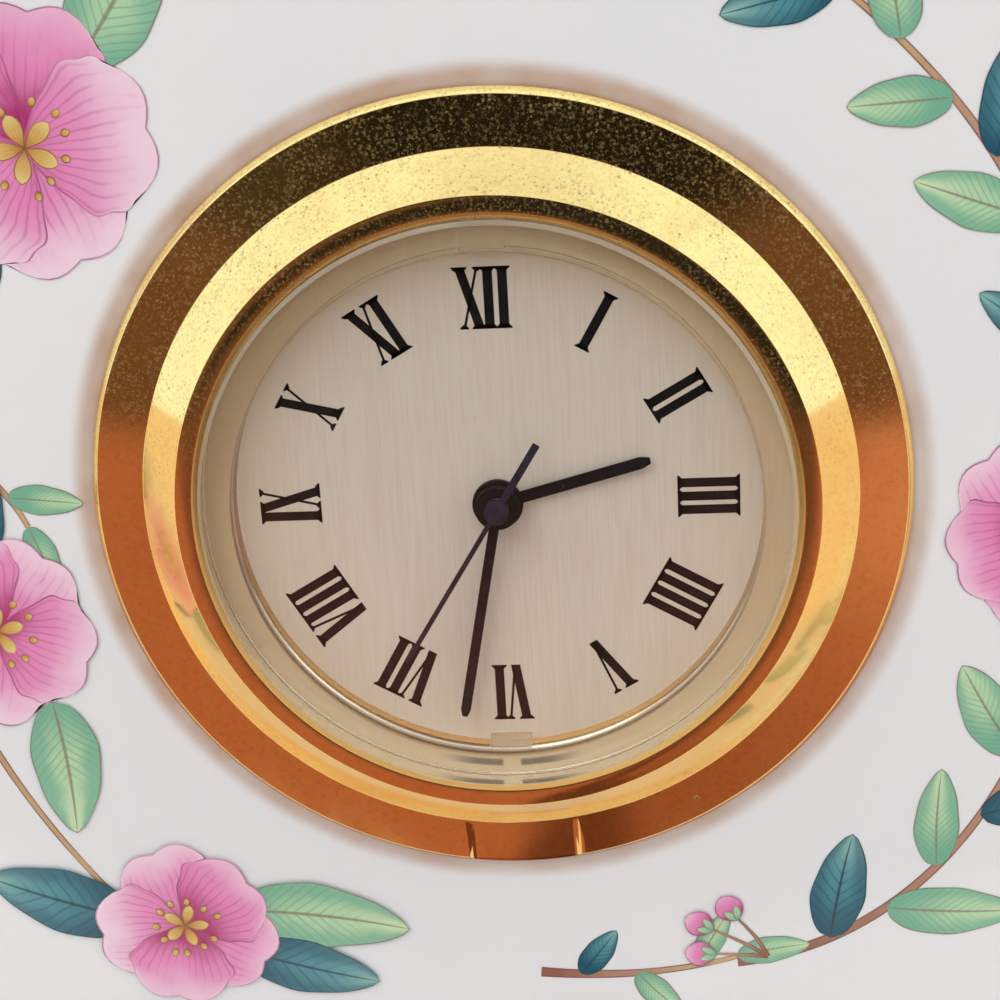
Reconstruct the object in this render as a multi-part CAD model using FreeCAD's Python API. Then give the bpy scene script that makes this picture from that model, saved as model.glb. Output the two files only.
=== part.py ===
"""A small porcelain table clock: a hollow glazed body that holds a round quartz insert with a stepped bezel.

Lengths are in millimetres and angles in degrees. X runs to the right of someone who faces the clock,
Y from its face to its back and Z up. The origin is on the table, under the middle of the body.
Round pieces are drawn about the hand axis with x right, y up and height measured forward from the back
of the bezel, and are then turned into place together.
"""
import FreeCAD, Part
import os
from math import acos, asin, atan2, cos, degrees, floor, hypot, pi, radians, sin, tan

V = FreeCAD.Vector

# Porcelain body
body_width = 100.0
body_depth = 36.0
body_draw_in = 3.5
body_edge_radius = 7.0
centre_height = 46.0
body_wall = 3.5
plinth_width = 112.0
plinth_depth = 46.0
plinth_height = 7.0
plinth_corner_radius = 10.0
plinth_top_radius = 2.5
plinth_foot_radius = 0.8
plinth_cove_radius = 2.0
foot_rim_width = 5.0
foot_recess = 1.2
rear_hole_radius = 19.0
rear_lip_radius = 1.2
front_lip_radius = 0.6

# Clearances
seat_gap = 0.1
hole_clearance = 0.1
press_gap = 0.02
running_gap = 0.05
face_gap = 0.1
overrun = 1.0
bite = 0.1

# Bezel
bezel_radius = 25.0
rim_edge = 0.25
rim_bevel_width = 0.4
rim_bevel_height = 0.5
flange_width = 2.92
flange_rise = 0.35
riser_width = 2.4
riser_height = 2.15
crown_width = 1.18
crown_dip = 0.03
lip_width = 0.15
lip_drop = 0.22
ledge_width = 0.75
ledge_height = 1.05
spigot_depth = 0.8
spigot_wall = 1.05
notch_width = 7.3
notch_side = 0.5
notch_depth = 0.25
notch_turn = 1.1

# Crystal
crystal_proud = 0.3
crystal_bevel = 0.25
crystal_thickness = 0.85
skirt_wall = 1.9
crystal_flange_width = 0.7
tab_width = 2.6
tab_depth = 0.5
tab_height = 0.9

# Dial
dial_rise = 0.3
dial_thickness = 0.4
dial_radius = 18.3
dial_hole_radius = 1.3
dial_foot_radius = 0.4
dial_foot_length = 1.2
dial_foot_circle = 15.5

# Hands, with their places at rest in degrees clockwise from 12
hour_hand_length = 9.6
hour_hand_width = 0.74
hour_hub_radius = 1.54
hour_hub_height = 0.4
hour_angle = 75.0
minute_hand_length = 14.1
minute_hand_width = 0.62
minute_hub_radius = 1.35
minute_hub_height = 0.55
minute_angle = 191.4
second_hand_length = 11.5
second_hand_width = 0.3
second_tail_length = 4.9
second_tail_width = 0.46
second_hub_radius = 0.75
second_hub_height = 0.6
second_angle = 212.0
hand_thickness = 0.16
hand_gap = 0.2
hub_cap = 0.15

# Cup, its cover and its rubber ring
cup_wall = 1.25
cup_length = 12.5
cup_front = 0.5
gasket_groove = 0.3
gasket_base = 0.9
gasket_lip = 1.2
gasket_lips = 4
gasket_start = 1.0
gasket_length = 6.0
cover_thickness = 1.2
cover_boss_radius = 1.5
cover_boss_circle = 16.6
cover_boss_angle = 60.0
cover_bosses = 3

# Screws
screw_radius = 0.45
screw_head_radius = 0.95
screw_head_height = 0.5
screw_slot_width = 0.25
screw_depth = 2.2

# Plates and pillars
spacer_height = 2.1
spacer_inner_radius = 13.0
plate_radius = 17.0
plate_thickness = 1.2
train_space = 4.7
bridge_thickness = 1.0
bridge_arm_width = 3.2
pillar_radius = 1.2
pillar_places = ((-9.5, -1.5), (10.0, 6.0), (2.5, -7.0))

# Toothed wheels
pressure = radians(30.0)
addendum_share = 0.8
dedendum_share = 1.1
backlash_share = 0.16
wheel_thickness = 0.4
pinion_thickness = 0.8
wheel_hub_radius = 1.0
pivot_radius = 0.25
leaves = 8
rotor_wheel_teeth = 60
second_wheel_teeth = 32
third_wheel_teeth = 60
centre_wheel_teeth = 64
cannon_teeth = 12
minute_wheel_teeth = 36
minute_leaves = 10
hour_wheel_teeth = 40
rotor_module = 0.11
second_module = 0.255
third_module = 0.15
motion_module = 0.2
third_angle = 30.0
intermediate_angle = 165.0
rotor_angle = 140.0
minute_wheel_angle = 250.0
setting_angle = 215.0
lightening_radius_share = 0.17
lightening_circle_share = 0.56
lightening_holes = 5

# Levels of the wheels, as gaps from the main plate
centre_wheel_gap = 0.3
third_wheel_gap = 1.6
second_wheel_gap = 2.7
minute_wheel_gap = 0.3
hour_wheel_gap = 1.1

# Arbors and pipes
second_arbor_radius = 0.25
cannon_outer_radius = 0.65
hour_pipe_radius = 1.1
minute_stud_radius = 0.4
stem_radius = 0.6
knob_radius = 4.0
knob_height = 3.0
knob_ribs = 24
knob_rib_depth = 0.35
knob_gap = 0.3

# Stepping motor
rotor_radius = 2.0
rotor_thickness = 1.0
rotor_collar_radius = 0.5
stator_gap = 3.4
stator_thickness = 0.5
stator_hole_radius = 2.35
stator_ring_radius = 3.1
stator_arm_width = 2.2
coil_posts = ((-11.6, 10.2), (2.0, 10.2))
coil_post_radius = 1.3
core_thickness = 0.6
core_width = 1.6
coil_radius = 1.7
coil_flange = 0.5
coil_margin = 2.2

# Circuit board
board_width = 8.4
board_height = 7.4
board_thickness = 0.5
board_place = (11.0, 0.4)
board_gap = 3.5
board_peg_radius = 0.7
board_pegs = ((7.5, -2.4), (14.2, -0.6))
can_radius = 0.95
can_length = 5.6
can_place = (13.7, 0.7)
chip_radius = 1.8
chip_height = 0.6
chip_place = (9.9, 0.9)

# Battery
cell_radius = 3.4
cell_height = 2.6
cell_place = (9.5, -7.5)
cell_gap = 1.6
cell_rim = 0.4
well_gap = 0.15
well_wall = 0.8
well_height = 3.3
contact_thickness = 0.2
contact_width = 2.0

# Battery hatch
hatch_radius = 4.5
hatch_flange = 1.4
hatch_flange_height = 0.6
hatch_lug = 0.9
hatch_lug_angle = 40.0
hatch_lug_height = 0.6
hatch_turn = 60.0
hatch_slot_angle = 46.0
coin_slot_width = 1.2
coin_slot_length = 8.0
coin_slot_depth = 0.35
hatch_boss_radius = 2.6

# Places worked out from the sizes above
bore_radius = bezel_radius - rim_bevel_width - flange_width - riser_width - crown_width - lip_width
crown_height = rim_edge + rim_bevel_height + flange_rise + riser_height
crystal_radius = bore_radius - running_gap
crystal_top = crown_height + crystal_proud
skirt_radius = crystal_radius - skirt_wall
spigot_outer = bezel_radius - rim_bevel_width - flange_width - ledge_width - running_gap
cup_radius = spigot_outer - spigot_wall - press_gap
cup_inner = cup_radius - cup_wall
cup_back = cup_front - cup_length
gasket_radius = cup_radius - gasket_groove + gasket_base + gasket_lip
front_hole_radius = gasket_radius + hole_clearance
dial_back = dial_rise - dial_thickness
plate_front = dial_back - spacer_height
plate_back = plate_front - plate_thickness
bridge_front = plate_back - train_space
bridge_back = bridge_front - bridge_thickness
cover_front = cup_back + cover_thickness
face_y = -body_depth / 2 - seat_gap

hour_hub_low = dial_rise + hand_gap
minute_hub_low = hour_hub_low + hour_hub_height + hand_gap
second_hub_low = minute_hub_low + minute_hub_height + hand_gap
cannon_inner_radius = second_arbor_radius + running_gap
hour_pipe_inner = cannon_outer_radius + running_gap

centre_wheel_top = plate_back - centre_wheel_gap
third_wheel_top = plate_back - third_wheel_gap
second_wheel_top = plate_back - second_wheel_gap
minute_wheel_low = plate_front + minute_wheel_gap
hour_wheel_low = plate_front + hour_wheel_gap
pinion_over = (pinion_thickness - wheel_thickness) / 2

third_distance = third_module * (leaves + third_wheel_teeth) / 2
centre_module = 2 * third_distance / (leaves + centre_wheel_teeth)
intermediate_distance = second_module * (leaves + second_wheel_teeth) / 2
rotor_distance = rotor_module * (leaves + rotor_wheel_teeth) / 2
motion_distance = motion_module * (cannon_teeth + minute_wheel_teeth) / 2
hour_module = 2 * motion_distance / (minute_leaves + hour_wheel_teeth)
setting_distance = motion_module * (cannon_teeth + minute_wheel_teeth) / 2


def step_from(place, distance, angle):
    """The point at a distance from a place, in the direction of an angle."""
    return (place[0] + distance * cos(radians(angle)), place[1] + distance * sin(radians(angle)))


centre = (0.0, 0.0)
third_place = step_from(centre, third_distance, third_angle)
intermediate_place = step_from(centre, intermediate_distance, intermediate_angle)
rotor_place = step_from(intermediate_place, rotor_distance, rotor_angle)
minute_wheel_place = step_from(centre, motion_distance, minute_wheel_angle)
setting_place = step_from(minute_wheel_place, setting_distance, setting_angle)
cell_top = plate_back - cell_gap
cell_back = cell_top - cell_height
board_front = plate_back - board_gap
board_back = board_front - board_thickness
stator_front = plate_back - stator_gap
stator_back = stator_front - stator_thickness


def disc(radius, low, high, place=centre):
    """A plain cylinder about a place, between two heights."""
    return Part.makeCylinder(radius, high - low, V(place[0], place[1], low))


def ring(outer, inner, low, high, place=centre):
    """A tube about a place, between two heights."""
    return disc(outer, low, high, place).cut(disc(inner, low - overrun, high + overrun, place))


def turned(profile):
    """A solid of revolution about the hand axis, from (radius, height) points."""
    points = [V(r, 0, h) for r, h in profile]
    face = Part.Face(Part.makePolygon(points + points[:1]))
    return face.revolve(V(0, 0, 0), V(0, 0, 1), 360)


def prism(outline, low, high):
    """A straight prism over (x, y) points, between two heights."""
    points = [V(x, y, low) for x, y in outline]
    return Part.Face(Part.makePolygon(points + points[:1])).extrude(V(0, 0, high - low))


def bar(start, end, width, low, high):
    """A flat bar with round ends that runs between two places."""
    length = hypot(end[0] - start[0], end[1] - start[1])
    half = width / 2
    a, b = V(0, half, low), V(length, half, low)
    c, d = V(length, -half, low), V(0, -half, low)
    edges = [
        Part.LineSegment(a, b).toShape(),
        Part.Arc(b, V(length + half, 0, low), c).toShape(),
        Part.LineSegment(c, d).toShape(),
        Part.Arc(d, V(-half, 0, low), a).toShape(),
    ]
    shape = Part.Face(Part.Wire(edges)).extrude(V(0, 0, high - low))
    shape.rotate(V(0, 0, 0), V(0, 0, 1), degrees(atan2(end[1] - start[1], end[0] - start[0])))
    shape.translate(V(start[0], start[1], 0))
    return shape


def block(width, height, low, high, place=centre):
    """A box centred on a place, between two heights."""
    corner = V(place[0] - width / 2, place[1] - height / 2, low)
    return Part.makeBox(width, height, high - low, corner)


def strip(path, width, place, angle):
    """A bent flat strip of contact metal, from the (distance, height) points of its front side."""
    back = [(d, h - contact_thickness) for d, h in reversed(path)]
    points = [V(d, -width / 2, h) for d, h in path + back]
    shape = Part.Face(Part.makePolygon(points + points[:1])).extrude(V(0, width, 0))
    shape.rotate(V(0, 0, 0), V(0, 0, 1), angle)
    shape.translate(V(place[0], place[1], 0))
    return shape


def turn(shape, angle):
    """The same shape, turned clockwise about the hand axis as the clock's reader sees it."""
    shape.rotate(V(0, 0, 0), V(0, 0, 1), -angle)
    return shape


def joined(*shapes):
    """One solid from shapes that meet."""
    return shapes[0].fuse(list(shapes[1:])).removeSplitter()


def in_place(shape):
    """Turns a shape from the hand axis's frame into the clock's frame."""
    shape.rotate(V(0, 0, 0), V(1, 0, 0), 90)
    shape.translate(V(0, face_y, centre_height))
    return shape


def save(name, shape):
    """Writes one sub-part in the clock's frame and prints its volume."""
    shape.exportStep(f"parts/{name}.step")
    print(name, len(shape.Solids), round(shape.Volume, 3), "valid" if shape.isValid() else "NOT VALID")


def involute(angle):
    """The involute function."""
    return tan(angle) - angle


def tooth_half_angle(teeth, radius):
    """Half the angle that a tooth fills at a radius given in modules."""
    at_pitch = pi / (2 * teeth) - backlash_share / teeth
    base = teeth / 2 * cos(pressure)
    return at_pitch + involute(pressure) - involute(acos(min(1, base / radius)))


def toothed(teeth, module, phase, low, high, place=centre):
    """A spur wheel with involute flanks drawn as chords; one tooth is centred on the phase, in radians."""
    radii = [teeth / 2 - dedendum_share, teeth / 2 + addendum_share]
    if teeth <= cannon_teeth:
        radii.insert(1, teeth / 2)
    flank = [(r * module, tooth_half_angle(teeth, r)) for r in radii]
    outline = []
    for number in range(teeth):
        middle = phase + 2 * pi * number / teeth
        for radius, half in flank:
            outline.append((radius, middle - half))
        for radius, half in reversed(flank):
            outline.append((radius, middle + half))
    points = [(place[0] + r * cos(a), place[1] + r * sin(a)) for r, a in outline]
    return prism(points, low, high)


def meshed_phase(phase, teeth, other_teeth, direction):
    """The phase of a wheel in mesh with one of known phase that lies in a direction from it."""
    pitches = (direction - phase) * teeth / (2 * pi)
    offset = -(pitches - floor(pitches)) * 2 * pi / teeth
    return direction + pi - offset * teeth / other_teeth + pi / other_teeth


def lightened(wheel, teeth, module, low, high, place):
    """A wheel with a circle of round holes through its web."""
    pitch_radius = teeth * module / 2
    for number in range(lightening_holes):
        hole = step_from(place, pitch_radius * lightening_circle_share, 360 / lightening_holes * number)
        wheel = wheel.cut(disc(pitch_radius * lightening_radius_share, low - overrun, high + overrun, hole))
    return wheel


def body_outline(inset, foot):
    """The front outline of the body, moved inwards: drawn-in sides that run up into a round arch."""
    half = body_width / 2 - inset
    rise = centre_height - plinth_height
    side_radius = (rise ** 2 + body_draw_in ** 2) / (2 * body_draw_in) - inset
    side_centre = half - side_radius
    sweep = asin((centre_height - foot) / side_radius)

    def on_side(share):
        return (
            side_centre + side_radius * cos(sweep * share),
            centre_height - side_radius * sin(sweep * share),
        )

    (x1, z1), (x2, z2) = on_side(1), on_side(1 / 2)
    top = centre_height + half
    edges = [
        Part.LineSegment(V(-x1, 0, z1), V(x1, 0, z1)).toShape(),
        Part.Arc(V(x1, 0, z1), V(x2, 0, z2), V(half, 0, centre_height)).toShape(),
        Part.Arc(V(half, 0, centre_height), V(0, 0, top), V(-half, 0, centre_height)).toShape(),
        Part.Arc(V(-half, 0, centre_height), V(-x2, 0, z2), V(-x1, 0, z1)).toShape(),
    ]
    return Part.Wire(edges)


def pillow(inset, foot, depth, edge_radius):
    """The body's outline made deep, with the edges of its front and back rounded."""
    face = Part.Face(body_outline(inset, foot))
    shape = face.extrude(V(0, depth, 0))
    shape.translate(V(0, -depth / 2, 0))
    rounded = []
    for edge in shape.Edges:
        along = edge.BoundBox.YLength > seat_gap
        flat = abs(edge.BoundBox.ZMax - foot) < seat_gap
        if not along and not flat:
            rounded.append(edge)
    return shape.makeFillet(edge_radius, rounded)


def rounded_slab(width, depth, low, high, corner):
    """A box with rounded upright corners, standing about the origin."""
    slab = Part.makeBox(width, depth, high - low, V(-width / 2, -depth / 2, low))
    upright = [e for e in slab.Edges if abs(e.Vertexes[0].Z - e.Vertexes[1].Z) > overrun / 2]
    return slab.makeFillet(corner, upright)


def edges_at(shape, height):
    """The edges of a shape that lie flat at a height."""
    return [
        e for e in shape.Edges if abs(e.BoundBox.ZMin - height) < seat_gap and e.BoundBox.ZLength < seat_gap
    ]


def round_edge(shape, radius, depth):
    """The circular edge of a shape with a radius, in the upright plane at a depth."""
    return [
        e
        for e in shape.Edges
        if isinstance(e.Curve, Part.Circle)
        and abs(e.Curve.Radius - radius) < seat_gap / 2
        and abs(e.Curve.Center.y - depth) < seat_gap / 2
    ]


def seam_edges(shape):
    """The edges where the body rises out of the plinth's top."""
    inside = plinth_width / 2 - plinth_top_radius - seat_gap
    return [e for e in edges_at(shape, plinth_height) if e.BoundBox.XMax < inside and on_body(e)]


def on_body(edge):
    """Whether an edge at the plinth's top lies on the body and not on the plinth's own rounding."""
    middle = edge.valueAt((edge.FirstParameter + edge.LastParameter) / 2)
    return abs(middle.y) < body_depth / 2 + seat_gap and abs(middle.x) < body_width / 2


def make_case():
    """The porcelain body: an arched hollow shell on a plinth, open in front for the insert and at the back."""
    plinth = rounded_slab(plinth_width, plinth_depth, 0, plinth_height, plinth_corner_radius)
    plinth = plinth.makeFillet(plinth_top_radius, edges_at(plinth, plinth_height))
    plinth = plinth.makeFillet(plinth_foot_radius, edges_at(plinth, 0))
    body = pillow(0, plinth_height / 2, body_depth, body_edge_radius)
    shell = plinth.fuse(body)
    shell = shell.makeFillet(plinth_cove_radius, seam_edges(shell))
    cavity_foot = foot_recess + body_wall
    hollow = pillow(body_wall, cavity_foot, body_depth - 2 * body_wall, body_edge_radius - body_wall)
    shell = shell.cut(hollow)
    recess = rounded_slab(
        plinth_width - 2 * foot_rim_width,
        plinth_depth - 2 * foot_rim_width,
        -overrun,
        foot_recess,
        plinth_corner_radius - foot_rim_width,
    )
    shell = shell.cut(recess)
    along = V(0, 1, 0)
    half = body_depth / 2
    reach = body_wall + 2 * overrun
    front = Part.makeCylinder(front_hole_radius, reach, V(0, -half - overrun, centre_height), along)
    behind = V(0, half - body_wall - overrun, centre_height)
    rear = Part.makeCylinder(rear_hole_radius, reach, behind, along)
    shell = shell.cut(front).cut(rear)
    shell = shell.makeFillet(front_lip_radius, round_edge(shell, front_hole_radius, -half))
    shell = shell.makeFillet(rear_lip_radius, round_edge(shell, rear_hole_radius, half))
    return shell.removeSplitter()


def make_bezel():
    """The stepped gold ring: a bevelled rim, a flange, a steep riser and a flat crown, with a spigot behind."""
    rim_inner = bezel_radius - rim_bevel_width
    riser_foot = rim_inner - flange_width
    crown_outer = riser_foot - riser_width
    crown_inner = crown_outer - crown_width
    ledge_radius = bore_radius + ledge_width
    rim_top = rim_edge + rim_bevel_height
    spigot_inner = spigot_outer - spigot_wall
    profile = [
        (bezel_radius, 0),
        (bezel_radius, rim_edge),
        (rim_inner, rim_top),
        (riser_foot, rim_top + flange_rise),
        (crown_outer, crown_height),
        (crown_inner, crown_height - crown_dip),
        (bore_radius, crown_height - lip_drop),
        (bore_radius, ledge_height),
        (ledge_radius, ledge_height),
        (ledge_radius, cup_front + face_gap),
        (spigot_inner, cup_front + face_gap),
        (spigot_inner, -spigot_depth),
        (spigot_outer, -spigot_depth),
        (spigot_outer, 0),
    ]
    bezel = turned(profile)
    slope = flange_rise / flange_width
    low_out = rim_top - notch_depth - slope * (rim_bevel_width + overrun)
    low_in = rim_top - notch_depth + slope * flange_width
    inner = riser_foot - notch_side / 2
    outer = bezel_radius + overrun
    top = crown_height
    section = []
    for radius, floor_height in ((inner, low_in), (outer, low_out)):
        grow = notch_side / notch_depth * (top - floor_height)
        half = notch_width / 2 - notch_side
        points = [V(-half, -radius, floor_height), V(half, -radius, floor_height)]
        points += [V(half + grow, -radius, top), V(-half - grow, -radius, top)]
        section.append(Part.makePolygon(points + points[:1]))
    notch = Part.makeLoft(section, True, True)
    keep = disc(riser_foot, 0, top)
    return bezel.cut(turn(notch.cut(keep), -notch_turn))


def make_crystal():
    """The clear moulded cup over the hands: a flat glass with a bevelled edge, a skirt and a locating flange."""
    foot = dial_rise + press_gap
    under = crystal_top - crystal_thickness
    flange_radius = crystal_radius + crystal_flange_width
    profile = [
        (0, crystal_top),
        (crystal_radius - crystal_bevel, crystal_top),
        (crystal_radius, crystal_top - crystal_bevel),
        (crystal_radius, ledge_height - face_gap),
        (flange_radius, ledge_height - face_gap),
        (flange_radius, cup_front + face_gap),
        (crystal_radius, cup_front + face_gap),
        (crystal_radius, foot),
        (skirt_radius, foot),
        (skirt_radius, under),
        (0, under),
    ]
    tabs = [
        block(tab_width, 2 * tab_depth, foot, foot + tab_height, (0, side * skirt_radius))
        for side in (-1, 1)
    ]
    return joined(turned(profile), *tabs)


def make_dial():
    """The dial plate with its two locating feet."""
    plate = ring(dial_radius, dial_hole_radius, dial_back, dial_rise)
    feet = [
        disc(dial_foot_radius, dial_back - dial_foot_length, dial_back + dial_thickness / 2, place)
        for place in dial_feet()
    ]
    return joined(plate, *feet)


def dial_feet():
    """Where the dial's feet stand, at 9 and 3 o'clock."""
    return [(-dial_foot_circle, 0), (dial_foot_circle, 0)]


def make_spacer():
    """The ring that holds the dial off the main plate, drilled for the dial's feet."""
    spacer = ring(dial_radius, spacer_inner_radius, plate_front, dial_back)
    radius = dial_foot_radius + running_gap
    for place in dial_feet():
        spacer = spacer.cut(disc(radius, plate_front - overrun, dial_back + overrun, place))
    return spacer


def baton(length, width, tip, low):
    """A straight hand's blade with a short blunt point, pointing to 12."""
    half = width / 2
    outline = [
        (-half, 0),
        (-half, length - tip),
        (-half / 2, length),
        (half / 2, length),
        (half, length - tip),
        (half, 0),
    ]
    return prism(outline, low, low + hand_thickness)


def make_hour_hand():
    """The hour hand, pressed on the hour pipe."""
    top = hour_hub_low + hour_hub_height
    low = hour_hub_low + hour_hub_height / 4
    blade = baton(hour_hand_length, hour_hand_width, hour_hand_width, low)
    hub = disc(hour_hub_radius, hour_hub_low, top)
    bore = disc(hour_pipe_radius + press_gap, hour_hub_low - overrun, top + overrun)
    return turn(joined(blade, hub).cut(bore), hour_angle)


def make_minute_hand():
    """The minute hand, pressed on the cannon pinion."""
    top = minute_hub_low + minute_hub_height
    low = minute_hub_low + minute_hub_height / 3
    blade = baton(minute_hand_length, minute_hand_width, minute_hand_width, low)
    hub = disc(minute_hub_radius, minute_hub_low, top)
    bore = disc(cannon_outer_radius + press_gap, minute_hub_low - overrun, top + overrun)
    return turn(joined(blade, hub).cut(bore), minute_angle)


def make_second_hand():
    """The second hand with its broader square-ended tail, capped over the arbor."""
    top = second_hub_low + second_hub_height
    low = second_hub_low + second_hub_height / 3
    blade = baton(second_hand_length, second_hand_width, second_hand_width, low)
    half = second_tail_width / 2
    tail = prism(
        [(-half, 0), (half, 0), (half, -second_tail_length), (-half, -second_tail_length)],
        low,
        low + hand_thickness,
    )
    hub = disc(second_hub_radius, second_hub_low, top)
    bore = disc(second_arbor_radius + press_gap, second_hub_low - overrun, top - hub_cap)
    return turn(joined(blade, tail, hub).cut(bore), second_angle)


def boss_places():
    """Where the cover's screws go into the cup, evenly spaced."""
    return [
        step_from(centre, cover_boss_circle, cover_boss_angle + 360 / cover_bosses * number)
        for number in range(cover_bosses)
    ]


def make_cup():
    """The cup that holds the movement: a tube with a groove for the rubber ring and three screw bosses."""
    groove_front = -gasket_start
    groove_back = groove_front - gasket_length
    groove_radius = cup_radius - gasket_groove
    profile = [
        (cup_inner, cup_front),
        (cup_radius, cup_front),
        (cup_radius, groove_front),
        (groove_radius, groove_front),
        (groove_radius, groove_back),
        (cup_radius, groove_back),
        (cup_radius, cup_back),
        (cup_inner, cup_back),
    ]
    tube = turned(profile)
    inside = disc(cup_inner + cup_wall / 2, cover_front, plate_back)
    bosses = []
    for place in boss_places():
        away = step_from(centre, cup_inner, degrees(atan2(place[1], place[0])))
        arm = bar(place, away, 2 * cover_boss_radius, cover_front + press_gap, plate_back - press_gap)
        bosses.append(arm.common(inside))
    cup = joined(tube, *bosses)
    low, high = cover_front - overrun, cover_front + screw_depth
    for place in boss_places():
        cup = cup.cut(disc(screw_radius + press_gap, low, high, place))
    return cup


def make_gasket():
    """The rubber ring round the cup, with lips that grip the hole."""
    front = -gasket_start - press_gap
    pitch = (gasket_length - 2 * press_gap) / gasket_lips
    inner = cup_radius - gasket_groove + press_gap
    base = inner + gasket_base - gasket_groove
    profile = [(inner, front)]
    for number in range(gasket_lips):
        start = front - number * pitch
        profile += [
            (base, start),
            (gasket_radius, start - pitch / 2),
        ]
    profile += [(base, front - gasket_lips * pitch), (inner, front - gasket_lips * pitch)]
    return turned(profile)


def make_back_cover():
    """The round cover: screw seats, a hole for the setting stem and a bayonet mouth for the hatch."""
    cover = disc(cup_inner - running_gap, cup_back, cover_front)
    low, high = cup_back - overrun, cover_front + overrun
    for place in boss_places():
        cover = cover.cut(disc(screw_radius + running_gap, low, high, place))
        cover = cover.cut(disc(screw_head_radius + running_gap, low, cup_back + screw_head_height, place))
    cover = cover.cut(disc(stem_radius + running_gap, low, high, setting_place))
    cover = cover.cut(disc(hatch_radius + running_gap, low, high, cell_place))
    for half_turn in (0, 180):
        middle = hatch_turn + half_turn
        cover = cover.cut(lug_sector(hatch_lug + running_gap, hatch_slot_angle, middle, low, high))
    return cover


def lug_sector(reach, angle, middle, low, high):
    """A curved lug about the cell's axis: a slice of disc that stands out of the hatch's side."""
    radius = hatch_radius + reach
    slab = Part.makeCylinder(radius, high - low, V(0, 0, low), V(0, 0, 1), angle)
    slab.rotate(V(0, 0, 0), V(0, 0, 1), -middle - angle / 2)
    slab.translate(V(cell_place[0], cell_place[1], 0))
    return slab


def make_hatch():
    """The battery cap: a coin-slotted flange outside, a body in the cover's mouth and two lugs behind it."""
    flange_low = cup_back - face_gap - hatch_flange_height
    flange = disc(hatch_radius + hatch_flange, flange_low, cup_back - face_gap, cell_place)
    lug_low = cover_front + face_gap
    lug_high = lug_low + hatch_lug_height
    core = disc(hatch_radius, flange_low, lug_high, cell_place)
    boss = disc(hatch_boss_radius, lug_high, cell_back - contact_thickness - hand_gap, cell_place)
    lugs = [lug_sector(hatch_lug, hatch_lug_angle, side, lug_low, lug_high) for side in (0, 180)]
    slot_low = flange_low - overrun
    slot = block(coin_slot_length, coin_slot_width, slot_low, flange_low + coin_slot_depth, cell_place)
    return joined(flange, core, boss, *lugs).cut(slot)


def screw(place, seat, depth):
    """A cheese-head screw that goes forward into its hole from a seat."""
    head = disc(screw_head_radius, seat - screw_head_height, seat, place)
    shank = disc(screw_radius, seat - screw_head_height / 2, seat + depth, place)
    slot_top = seat - screw_head_height / 2
    slot_length = 2 * screw_head_radius + overrun
    slot = block(slot_length, screw_slot_width, slot_top - screw_head_height, slot_top, place)
    return joined(head, shank).cut(slot)


def make_cover_screws():
    """The three screws of the back cover, with their heads flush in it."""
    seat = cup_back + screw_head_height
    depth = cover_thickness - screw_head_height + screw_depth - running_gap
    return Part.Compound([screw(place, seat, depth) for place in boss_places()])


def make_main_plate():
    """The moulded main plate: bearings, pillars for the bridge, posts for the coil and the cell's well."""
    plate = disc(plate_radius, plate_back, plate_front)
    root = plate_back + overrun / 2
    uprights = [disc(pillar_radius, bridge_front, root, place) for place in pillar_places]
    uprights += [disc(coil_post_radius, stator_front, root, place) for place in coil_posts]
    uprights += [disc(board_peg_radius, board_front, root, place) for place in board_pegs]
    well_inner = cell_radius + well_gap
    well = ring(well_inner + well_wall, well_inner, plate_back - well_height, root, cell_place)
    stud_top = hour_wheel_low + wheel_thickness + hand_gap
    stud = disc(minute_stud_radius, plate_front - overrun / 2, stud_top, minute_wheel_place)
    plate = joined(plate, *uprights, well, stud)
    gate_place = (cell_place[0], cell_place[1] + well_inner + well_wall / 2)
    gate_low = plate_back - well_height - overrun
    gate_width = contact_width + 2 * running_gap
    gate = block(gate_width, well_wall + 2 * well_gap, gate_low, plate_back, gate_place)
    plate = plate.cut(gate)
    low, high = bridge_front - overrun, plate_front + overrun
    plate = plate.cut(disc(cannon_outer_radius + running_gap, low, high))
    plate = plate.cut(disc(stem_radius + running_gap, low, high, setting_place))
    for place in (third_place, intermediate_place, rotor_place):
        plate = plate.cut(disc(pivot_radius + running_gap, low, high, place))
    for place in pillar_places:
        plate = plate.cut(disc(screw_radius + press_gap, low, bridge_front + screw_depth, place))
    for place in coil_posts:
        plate = plate.cut(disc(screw_radius + press_gap, low, stator_front + screw_depth, place))
    return plate


def make_bridge():
    """The train bridge: arms from pillar to pillar past every rear bearing."""
    low, high = bridge_back, bridge_front
    left, right, bottom = pillar_places
    runs = [
        (left, rotor_place),
        (left, centre),
        (rotor_place, intermediate_place),
        (intermediate_place, centre),
        (centre, third_place),
        (third_place, right),
        (centre, bottom),
    ]
    bridge = joined(*[bar(a, b, bridge_arm_width, low, high) for a, b in runs])
    for place in (centre, third_place, intermediate_place, rotor_place):
        bridge = bridge.cut(disc(pivot_radius + running_gap, low - overrun, high + overrun, place))
    for place in pillar_places:
        bridge = bridge.cut(disc(screw_radius + running_gap, low - overrun, high + overrun, place))
    return bridge


def make_bridge_screws():
    """The three screws that hold the bridge on its pillars."""
    depth = bridge_thickness + screw_depth - running_gap
    return Part.Compound([screw(place, bridge_back, depth) for place in pillar_places])


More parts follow.
